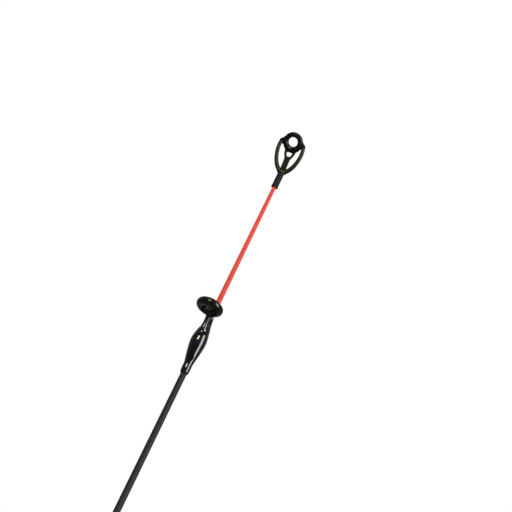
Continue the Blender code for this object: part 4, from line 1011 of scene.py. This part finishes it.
def collar_guide(name, body, bore_width):
    """Collar, web, legs and ring holder as one frame, and the ceramic ring in it."""
    frame_node, ring_node = name + "_frame", name + "_ring"
    low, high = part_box(frame_node)
    ring_low, ring_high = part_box(ring_node)
    centre = (0.0, (ring_low.y + ring_high.y) / 2.0, (ring_low.z + ring_high.z) / 2.0)
    length = high.z - low.z
    ring_bore = bore_width / 2.0
    rim = ring_bore + RING_WALL
    seat = ring_bore + RING_LINING
    stand_off = -centre[1]
    outer = stand_off - rim - RING_STAND_OFF
    bore = outer - COLLAR_WALL
    waist = outer - COLLAR_WAIST
    collar = turned(name + "_collar", rounded([
        (bore, high.z), (outer, high.z, 0.0005), (outer, high.z - COLLAR_BEAD),
        (waist, high.z - COLLAR_BEAD - 0.0006), (waist, low.z + COLLAR_BEAD + 0.0006),
        (outer, low.z + COLLAR_BEAD), (outer, low.z, 0.0005), (bore, low.z)], 0.0003))
    shape = (ring_bore, rim, RING_HEIGHT, RING_STEPS, centre, -RING_LEAN)
    holder = ring_part(name + "_holder", shape, seat, False, 14)
    carry = (seat + rim) / 2.0
    root = waist - 0.0003
    foot, top = WEB_FOOT * length, WEB_TOP * length
    ring_drop = RING_LEAN * carry
    web_rows = []
    for share in shares(8):
        y = -root + share * (carry - stand_off + root)
        slim = share ** WEB_RISE
        z_low = (low.z + foot) * (1 - slim) + (centre[2] - ring_drop - RING_HEIGHT / 3.0) * slim
        z_high = (low.z + top) * (1 - slim) + (centre[2] - ring_drop + RING_HEIGHT / 3.0) * slim
        z_mid, z_half = (z_low + z_high) / 2.0, (z_high - z_low) / 2.0
        thick = WEB_HALF * (WEB_FLARE - WEB_WAIST * math.sin(math.pi * share))
        web_rows.append([(thick * squared(math.cos(a)), y, z_mid + z_half * squared(math.sin(a)))
                         for a in [turn + WEB_TURN for turn in around(WEB_STEPS)]])
    for end in (0, -1):
        middle = [sum(p[i] for p in web_rows[end]) / WEB_STEPS for i in range(3)]
        cap_row = [tuple(middle)] * WEB_STEPS
        web_rows = [cap_row] + web_rows if end == 0 else web_rows + [cap_row]
    web = skin(name + "_web", web_rows, loop=False)
    parts = [collar, holder, web]
    for side, hand in SIDES:
        start = Vector((side * root * math.sin(LEG_TURN), -root * math.cos(LEG_TURN),
                        low.z + LEG_FOOT * length))
        end = Vector((side * carry, -stand_off, centre[2]))
        bow = Vector((side * (carry + root) / 2.0, -stand_off / 2.0, low.z + LEG_BOW * length))
        path = [(*point, LEG_RADIUS) for point in bent(start, bow, end, 14)]
        parts.append(wire(name + "_leg_" + hand, path, 14, coated))
    joined = fuse(name + "_black_frame", parts)
    dress(joined, coated, "black_frame", body, frame_node)
    ring = ring_part(name + "_ceramic", shape, seat - FINE_GAP, True, 16)
    dress(ring, ceramic, "black_ceramic", body, ring_node)


for name, body, width in (
        ("butt_guide", "handle", 0.0210), ("section_2_guide", "section_2", 0.0170),
        ("lower_sliding_guide", "lower_sliding_guide", 0.0150), ("section_3_guide", "section_3", 0.0132),
        ("upper_sliding_guide", "upper_sliding_guide", 0.0116), ("section_4_guide", "section_4", 0.0100)):
    collar_guide(name, body, width)

# Quiver tip: a slim solid blank of dark glass fibre with a bright red end, which shows a bite.
# Its foot is ground to a plug for the socket in section four.
red = new_finish("red_lacquer", (0.85, 0.058, 0.034), {"Specular IOR Level": 0.05},
                 (1.0, 1.0, 0.12), 1800.0, 240.0, (0.96, 1.03), (0.48, 0.62), 0.000002)
TIP_STEPS = 48
PLUG_LENGTH = 0.040
SPLICE_RADIUS = 0.0006
SPLICE_LENGTH = 0.012
tip_z = 1.1425
DARK_TOP_RADIUS = 0.0014
RED_FOOT_RADIUS = 0.00123
RED_TOP_RADIUS = 0.00088
GUIDE_DROPS = (0.0903, 0.218, 0.350)
WHIPPING_TOP = 0.0032
WHIPPING_LENGTH = 0.0271
TUBE_TOP_DROP = 0.0150
TUBE_LENGTH = 0.0076
splice_z = tip_z - GUIDE_DROPS[0] - WHIPPING_TOP - WHIPPING_LENGTH / 2.0
dark_z = splice_z - WHIPPING_LENGTH / 2.0
red_z = splice_z + WHIPPING_LENGTH / 2.0
tube_foot_z = tip_z - TUBE_TOP_DROP - TUBE_LENGTH
low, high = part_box("quiver_blank")
socket_z = low.z + PLUG_LENGTH
plug_radius = high.x


def tip_blank_radius(z):
    """Radius of the quiver tip's blank at a height."""
    if z <= splice_z:
        share = (z - socket_z) / (dark_z - socket_z)
        return plug_radius + (DARK_TOP_RADIUS - plug_radius) * share
    share = (z - red_z) / (tube_foot_z - red_z)
    return RED_FOOT_RADIUS + (RED_TOP_RADIUS - RED_FOOT_RADIUS) * share


dark_blank = turned("quiver_dark_blank", [
    (0.0, high.z - SPLICE_LENGTH), (SPLICE_RADIUS + FINE_GAP, high.z - SPLICE_LENGTH),
    (SPLICE_RADIUS + FINE_GAP, high.z), (tip_blank_radius(high.z), high.z), (DARK_TOP_RADIUS, dark_z),
    (plug_radius, socket_z), (plug_radius, low.z + 0.0006), (plug_radius - 0.0005, low.z),
    (0.0, low.z)], TIP_STEPS)
dress(dark_blank, carbon, "matt_blank", "quiver_tip", "quiver_blank")

low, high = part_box("quiver_red_end")
red_low = low.z + SPLICE_LENGTH
red_blank = turned("quiver_bright_end", [
    (0.0, high.z), (RED_TOP_RADIUS - 0.0002, high.z), (RED_TOP_RADIUS, high.z - 0.0002),
    (RED_TOP_RADIUS, tube_foot_z), (tip_blank_radius(red_low), red_low), (SPLICE_RADIUS, red_low),
    (SPLICE_RADIUS, low.z), (0.0, low.z)], TIP_STEPS)
dress(red_blank, red, "red_lacquer", "quiver_tip", "quiver_red_end")

# Ferrule: a turned aluminium stop ring, glued on the quiver tip. It rests on the socket's mouth
# when the tip is plugged in.
low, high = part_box("tip_ferrule")
bore = plug_radius + FINE_GAP
length = high.z - low.z
FERRULE_WALL = 0.0009
ferrule_top = bore + FERRULE_WALL
ferrule = turned("turned_ferrule", rounded([
    (ferrule_top, high.z), (ferrule_top + 0.0001, high.z - 0.0030, 0.001),
    (high.x - 0.0002, low.z + 0.0046, 0.001), (high.x, low.z + 0.0040), (high.x, low.z + 0.0032),
    (high.x - 0.0003, low.z + 0.0030), (high.x - 0.0003, low.z + 0.0026), (high.x, low.z + 0.0024),
    (high.x, low.z, 0.0004), (bore, low.z), (bore, high.z)], 0.00012), 64)
dress(ferrule, aluminium, "bright_aluminium", "quiver_tip", "tip_ferrule")

# Tip guides: a thick black ring on a single foot. The foot lies along the blank under a whipping
# of thread, flooded with epoxy into one smooth bulb that the ring's neck grows out of. The epoxy
# thins out over the blank right under the ring.
glossy = new_finish("glossy_black_coating", (0.0038, 0.0038, 0.0020), {"Specular IOR Level": 0.06},
                    (1.0, 1.0, 1.0), 1500.0, 300.0, (0.85, 1.15), (0.15, 0.21), 0.0000003)
GUIDE_RING_RADIUS = 0.0064
GUIDE_BORE_RADIUS = 0.0022
GUIDE_RING_HEIGHT = 0.0039
GUIDE_RING_LEAN = math.radians(-9.0)
GUIDE_CLEARANCE = 0.0010
GUIDE_LINING = 0.0011
NECK_RADIUS = 0.00116
FOOT_RADIUS = 0.00035
FOOT_START = 0.26
SWELL_OVER_BLANK = 0.0022
SWELL_SHIFT = 0.00135
LOW_LIP = 0.00042
HIGH_LIP = 0.00035
EPOXY_REACH = 0.0022         # over the blank above the whipping's last turn
EPOXY_PULL = 0.00010         # what the softening of the flooded skin takes off
EPOXY_GRID = 0.00013
EPOXY_PASSES = 70
CORE_EASE = 0.00002          # between the whipping and the blank
CORE_REACH = 0.001           # of the bore's cutter over the whipping's ends
BULB_STEPS = 72
SEAT_EASE = 0.00002          # between a ceramic ring and its seat
# Stations up the whipping: (share of its length, share of its swell, share of its shift).
BULB_SHAPE = ((0.0, 0.0, 0.05), (0.05, 0.09, 0.18), (0.11, 0.125, 0.22), (0.16, 0.12, 0.22),
              (0.21, 0.19, 0.30), (0.38, 0.67, 0.7), (0.59, 1.02, 1.0), (0.80, 0.56, 0.8),
              (0.92, 0.16, 0.3), (1.0, 0.0, 0.05))


def between(low_value, high_value, share):
    """What lies at a share of the way from one value to another."""
    return low_value + (high_value - low_value) * share


def flooded(name, pieces, core, grid, passes):
    """Closed pieces that overlap, flooded into one soft skin, with a core taken out of it."""
    work = bmesh.new()
    for item in pieces:
        work.from_mesh(item.data)
        bpy.data.objects.remove(item, do_unlink=True)
    mesh = bpy.data.meshes.new(name)
    work.to_mesh(mesh)
    work.free()
    body = stand(name, mesh)
    remesh = body.modifiers.new("flood", "REMESH")
    remesh.mode = "VOXEL"
    remesh.voxel_size = grid
    soften = body.modifiers.new("soften", "SMOOTH")
    soften.factor = 0.5
    soften.iterations = passes
    if core:
        combine(body, core, "DIFFERENCE")
    mesh = shown_mesh(body, name)
    body.modifiers.clear()
    body.data = mesh
    if core:
        bpy.data.objects.remove(core, do_unlink=True)
    tidy_mesh(mesh)
    return body


for number, drop in enumerate(GUIDE_DROPS, 1):
    node = "tip_guide_%d" % number
    ring_z = tip_z - drop
    high_z = ring_z - WHIPPING_TOP
    low_z = high_z - WHIPPING_LENGTH
    foot_blank = tip_blank_radius(low_z)
    stand_off = tip_blank_radius(ring_z) + GUIDE_CLEARANCE + GUIDE_RING_RADIUS
    centre = (0.0, -stand_off, ring_z + 0.0001)
    lining_edge = GUIDE_BORE_RADIUS + GUIDE_LINING
    seat = lining_edge + SEAT_EASE
    shape = (GUIDE_BORE_RADIUS, GUIDE_RING_RADIUS, GUIDE_RING_HEIGHT, FINE_STEPS, centre,
             GUIDE_RING_LEAN)
    donut = ring_part(node + "_donut", shape, seat, False, 28)
    inner = foot_blank + FINE_GAP + FOOT_RADIUS
    carry = stand_off - (seat + GUIDE_RING_RADIUS) / 2.0
    stations = [
        (0.0, -inner, between(low_z, high_z, FOOT_START), FOOT_RADIUS),
        (0.0, -inner - 0.0009, between(low_z, high_z, 0.62), 0.0011),
        (0.0, -between(inner, carry, 0.56), between(low_z, high_z, 0.78), 0.00155),
        (0.0, -between(inner, carry, 0.74), between(low_z, high_z, 0.90), 0.00135),
        (0.0, -between(inner, carry, 0.96), high_z, 1.10 * NECK_RADIUS),
        (0.0, -carry - 0.0004, ring_z - 0.46 * GUIDE_RING_HEIGHT, 1.35 * NECK_RADIUS),
        (0.0, -carry - 0.0001, ring_z - 0.20 * GUIDE_RING_HEIGHT, 1.25 * NECK_RADIUS),
    ]
    neck = wire(node + "_neck", smooth_path(stations, 6), 32, glossy)
    joined = fuse(node + "_black_frame", [donut, neck])
    dress(joined, glossy, "black_frame", "quiver_tip", node + "_frame")
    ring = ring_part(node + "_ceramic", shape, lining_edge, True, 28)
    dress(ring, ceramic, "black_ceramic", "quiver_tip", node + "_ring")

    swell = foot_blank + SWELL_OVER_BLANK
    low_lip = foot_blank + LOW_LIP
    high_lip = tip_blank_radius(high_z) + HIGH_LIP
    top_z = high_z + EPOXY_REACH
    bulb = [(SWELL_SHIFT * shift, between(low_z, high_z, along),
             between(between(low_lip, high_lip, along), swell, share) + EPOXY_PULL)
            for along, share, shift in BULB_SHAPE]
    bulb.append((0.0, top_z, tip_blank_radius(top_z) + 0.00008))
    bulb = smooth_path(bulb, 10)

    def bulb_row(shift, z, radius):
        return [(radius * math.cos(a), radius * math.sin(a) - shift, z) for a in around(BULB_STEPS)]

    rows = [bulb_row(0.0, low_z, 0.0), bulb_row(0.0, low_z, low_lip - 0.0003),
            bulb_row(0.0, low_z + 0.00005, low_lip - 0.0001)]
    rows += [bulb_row(*station) for station in bulb[1:]] + [bulb_row(0.0, top_z, 0.0)]
    solid = skin(node + "_bulb", rows, loop=False)
    sleeve = [(x, y, z, radius + 0.0001) for x, y, z, radius in smooth_path(stations[1:4], 6)]
    sleeve = wire(node + "_sleeve", sleeve, 32, epoxy)
    bores = [(top_z + CORE_REACH, tip_blank_radius(top_z + CORE_REACH)),
             (low_z - CORE_REACH, foot_blank)]
    if high_z > splice_z > low_z:
        bores[1:1] = [(splice_z + 0.00001, tip_blank_radius(splice_z + 0.00001)),
                      (splice_z, tip_blank_radius(splice_z))]
    core = turned(node + "_core", [(0.0, bores[0][0])] + [(r + CORE_EASE, z) for z, r in bores]
                  + [(0.0, bores[-1][0])], TIP_STEPS)
    whipping = flooded(node + "_epoxy", [solid, sleeve], core, EPOXY_GRID, EPOXY_PASSES)
    dress(whipping, epoxy, "black_epoxy", "quiver_tip", node + "_whipping")

# Tip-top: a short tube glued over the red end. A stem and a fork stamped from sheet rise from it
# to the ring, a bent wire braces the ring's two sides, and solder joins them at the tube's mouth.
TUBE_RADIUS = 0.0015
TUBE_BORE = 0.0011
RING_RADIUS = 0.00458
RING_BORE = 0.0022
TIP_RING_HEIGHT = 0.0028
TIP_RING_LINING = 0.0010
TIP_RING_LEAN = math.radians(33.0)
TIP_RING_FORWARD = 0.0043
PLATE_THICKNESS = 0.0007
PLATE_SET_BACK = 0.00015
STEM_HALF = 0.00135
TONGUE_HALF = 0.00062        # of the stem's tongue, inside the tube
STEM_FOOT = 0.0016
FORK_HALF = 0.00275
FORK_LENGTH = 0.0047
FORK_ARM = 0.00125
BRACE_RADIUS = 0.00088
BRACE_BACK = 0.0016          # its foot is soldered into the stem
BRACE_SWELL = 0.00022         # of its radius, towards its foot
BRACE_SPREAD = 0.01165
BRACE_NARROWING = 0.11        # of its spread, towards its foot
BRACE_WIDEST_DROP = 0.0041
EAR_START = 0.0014
EAR_SET_BACK = 0.0005         # of the wire's ends behind the ring's middle
EAR_RISE = 0.0004
EAR_DROP = 0.0018
EAR_FILLET_TURNS = (math.radians(112.0), math.radians(134.0))     # around the ring from the stem
EAR_FILLET_REACH = 0.0038
EAR_RADIUS = 0.00085
CRADLE_RADIUS = 0.0009
CRADLE_REACH = 0.0043
CRADLE_HALF_TURN = math.radians(75.0)
SOLDER_HALF = (0.0024, 0.0012, 0.0013)
SOLDER_RISE = 0.0008
TUBE_LIP = 0.00012           # of the tube's foot over its side
EAR_BEND, FILLET_BEND = 0.45, 0.30               # past the wire's end, in elevenths of its half bow
SOLDER_GRID = 0.00010
SOLDER_STEPS = 24

# The brace's coating is a lighter, olive copy of the black coating with a yellow reflection tint: painted
# sheen of warm light on the wire.
sheen_coated_wire = new_finish("black_wire_coating_painted_sheen", (0.0098, 0.0100, 0.0060),
                         {"Specular IOR Level": 0.05, "Specular Tint": (1.0, 0.99, 0.70, 1.0)},
                         (1.0, 1.0, 1.0), 2600.0, 420.0, (0.80, 1.25), (0.34, 0.44), 0.0000008)
tube_top = tip_z - TUBE_TOP_DROP
tube = turned("solder_tube", rounded([
    (TUBE_BORE, tube_top, 0.0001), (TUBE_RADIUS, tube_top, 0.0002),
    (TUBE_RADIUS, tube_foot_z + 0.0009, 0.0004), (TUBE_RADIUS + TUBE_LIP, tube_foot_z + 0.0005, 0.0002),
    (TUBE_RADIUS + TUBE_LIP, tube_foot_z, 0.0002), (TUBE_BORE, tube_foot_z, 0.0001)], 0.0001))
dress(tube, coated, "black_frame", "quiver_tip", "tip_top_tube")

seat = RING_BORE + TIP_RING_LINING + SEAT_EASE
lean = TIP_RING_LEAN - math.pi / 2.0
centre = (0.0, -TIP_RING_FORWARD, tip_z)
shape = (RING_BORE, RING_RADIUS, TIP_RING_HEIGHT, FINE_STEPS, centre, lean)
holder = ring_part("tip_top_holder", shape, seat, False, 22)
ring = ring_part("tip_top_ceramic", shape, seat - SEAT_EASE, True, 22)
dress(ring, ceramic, "black_ceramic", "quiver_tip", "tip_top_ring")

carry = (seat + RING_RADIUS) / 2.0
forward = TIP_RING_FORWARD + PLATE_SET_BACK - carry * math.sin(TIP_RING_LEAN)
rise = TUBE_TOP_DROP - carry * math.cos(TIP_RING_LEAN)
stem_length = math.hypot(forward, rise)
stem_lean = math.atan2(forward, rise)
crotch = stem_length - FORK_LENGTH
half_outline = [
    (TONGUE_HALF, -STEM_FOOT), (TONGUE_HALF, 0.0003), (STEM_HALF, 0.0006), (STEM_HALF, crotch),
    (between(STEM_HALF, FORK_HALF, 0.35), crotch + 0.25 * FORK_LENGTH),
    (between(STEM_HALF, FORK_HALF, 0.72), crotch + 0.50 * FORK_LENGTH),
    (FORK_HALF, stem_length - 0.02 * FORK_LENGTH),
    (0.88 * FORK_HALF, stem_length + 0.12 * FORK_LENGTH), (0.4 * FORK_HALF, stem_length)]
outline = half_outline + [(-x, y) for x, y in reversed(half_outline)]
hole_half = between(STEM_HALF, FORK_HALF, 0.80) - FORK_ARM
hole_low = crotch + 0.30 * FORK_LENGTH
hole_high = stem_length - 0.26 * FORK_LENGTH
half_hole = [(0.45 * hole_half, hole_low), (0.85 * hole_half, between(hole_low, hole_high, 0.25)),
             (hole_half, between(hole_low, hole_high, 0.6)), (0.85 * hole_half, hole_high)]
hole = half_hole + [(-x, y) for x, y in reversed(half_hole)]

EDGE_ROUND = 0.00012
plate_line = bpy.data.curves.new("tip_top_stem", "CURVE")
plate_line.dimensions = "2D"
plate_line.fill_mode = "BOTH"
plate_line.extrude = PLATE_THICKNESS / 2.0 - EDGE_ROUND
plate_line.bevel_depth = EDGE_ROUND
plate_line.bevel_resolution = 2
plate_line.offset = -EDGE_ROUND
for points in (outline, smooth_path(hole + [hole[0]], 5)[:-1]):
    spline = plate_line.splines.new("POLY")
    spline.points.add(len(points) - 1)
    spline.use_cyclic_u = True
    for point, (x, y) in zip(spline.points, points):
        point.co = (x, y, 0.0, 1.0)
plate_item = stand("tip_top_stem", plate_line)
plate_item.location = (0.0, PLATE_SET_BACK, tube_top)
plate_item.rotation_euler = (math.pi / 2.0 + stem_lean, 0.0, 0.0)
plate_mesh = shown_mesh(plate_item, "tip_top_plate")
plate_mesh.transform(plate_item.matrix_world)
bpy.data.objects.remove(plate_item, do_unlink=True)
tidy_mesh(plate_mesh)
stem = stand("tip_top_plate", plate_mesh)

brace_low = tube_top + FINE_GAP + BRACE_RADIUS
stem_front = PLATE_SET_BACK - PLATE_THICKNESS / 2.0 / math.cos(stem_lean)
brace_y = stem_front - math.tan(stem_lean) * 2.0 * BRACE_RADIUS - FINE_GAP - BRACE_RADIUS
middle_z = tip_z - BRACE_WIDEST_DROP
reach = middle_z - brace_low
ear_z = tip_z - EAR_START


def on_rim(turn, reach, side=1.0):
    """A point round the ring's axis; a turn of 0 is where the stem meets the ring."""
    return Vector(centre) + reach * Vector((
        side * math.sin(turn), math.cos(turn) * math.cos(lean), math.cos(turn) * math.sin(lean)))


def on_brace(angle, side):
    """A point of the brace's oval bow; its lowest point is at an angle of 0."""
    z = middle_z - reach * math.cos(angle)
    share = (z - brace_low) / (ear_z - brace_low)
    spread = BRACE_SPREAD * (1.0 - BRACE_NARROWING * max(0.0, math.cos(angle)))
    return (side * spread / 2.0 * math.sin(angle),
            between(brace_y + BRACE_BACK, -TIP_RING_FORWARD + EAR_SET_BACK, share), z)


bow_end = math.pi / 2.0 + math.asin((ear_z - middle_z) / reach)
BOW_STEPS = 30
path = [(*on_brace(abs(i) / BOW_STEPS * bow_end, math.copysign(1.0, i)),
         BRACE_RADIUS + BRACE_SWELL * (1.0 - abs(i) / BOW_STEPS)) for i in range(-BOW_STEPS, BOW_STEPS + 1)]
# The brace wears the copy of the coating with the painted sheen.
brace = wire("tip_top_bow", path, 24, sheen_coated_wire, round_ends=True)
drop_rows = []
for i in range(17):
    turn = math.pi * i / 16.0
    drop_rows.append([(SOLDER_HALF[0] * math.sin(turn) * math.cos(a),
                       brace_y + BRACE_BACK + SOLDER_HALF[1] * math.sin(turn) * math.sin(a),
                       tube_top + SOLDER_RISE + SOLDER_HALF[2] * math.cos(turn))
                      for a in around(SOLDER_STEPS)])
solder = skin("tip_top_solder", drop_rows, loop=False)
brace = flooded("tip_top_brace", [brace, solder], None, SOLDER_GRID, 10)
dress(brace, sheen_coated_wire, "black_frame", "quiver_tip", "tip_top_wire")

ear_base = Vector(centre) + EAR_RISE * Vector((0.0, -math.sin(TIP_RING_LEAN), math.cos(TIP_RING_LEAN)))
gap = FINE_GAP / reach
parts = [holder, stem]
for side, hand in SIDES:
    foot_x = side * 0.95 * carry
    bars = [[(foot_x, ear_base.y, ear_base.z, EAR_RADIUS),
             (*on_brace(bow_end + gap + EAR_BEND * bow_end / 11.0, side), EAR_RADIUS),
             (*on_brace(bow_end + gap, side), BRACE_RADIUS)],
            [(foot_x, ear_base.y + 0.5 * EAR_DROP, ear_base.z - EAR_DROP, EAR_RADIUS),
             (*on_brace(bow_end + 0.5 * gap, side), 0.8 * BRACE_RADIUS)]]
    bars += [[(*on_rim(turn, EAR_FILLET_REACH, side), 0.8 * EAR_RADIUS),
              (*on_brace(bow_end + gap + FILLET_BEND * bow_end / 11.0, side), 0.8 * EAR_RADIUS)]
             for turn in EAR_FILLET_TURNS]
    parts += [wire("tip_top_ear_" + hand, smooth_path(bar, 6), 24, coated) for bar in bars]
arc = []
for i in range(17):
    share = i / 8.0 - 1.0
    arc.append((*on_rim(share * CRADLE_HALF_TURN, CRADLE_REACH),
                CRADLE_RADIUS * (1.0 - 0.55 * share ** 2)))
parts.append(wire("tip_top_cradle", arc, 20, coated))
tip_top = flooded("tip_top_black_frame", parts, None, SOLDER_GRID, 5)
dress(tip_top, coated, "black_frame", "quiver_tip", "tip_top_frame")
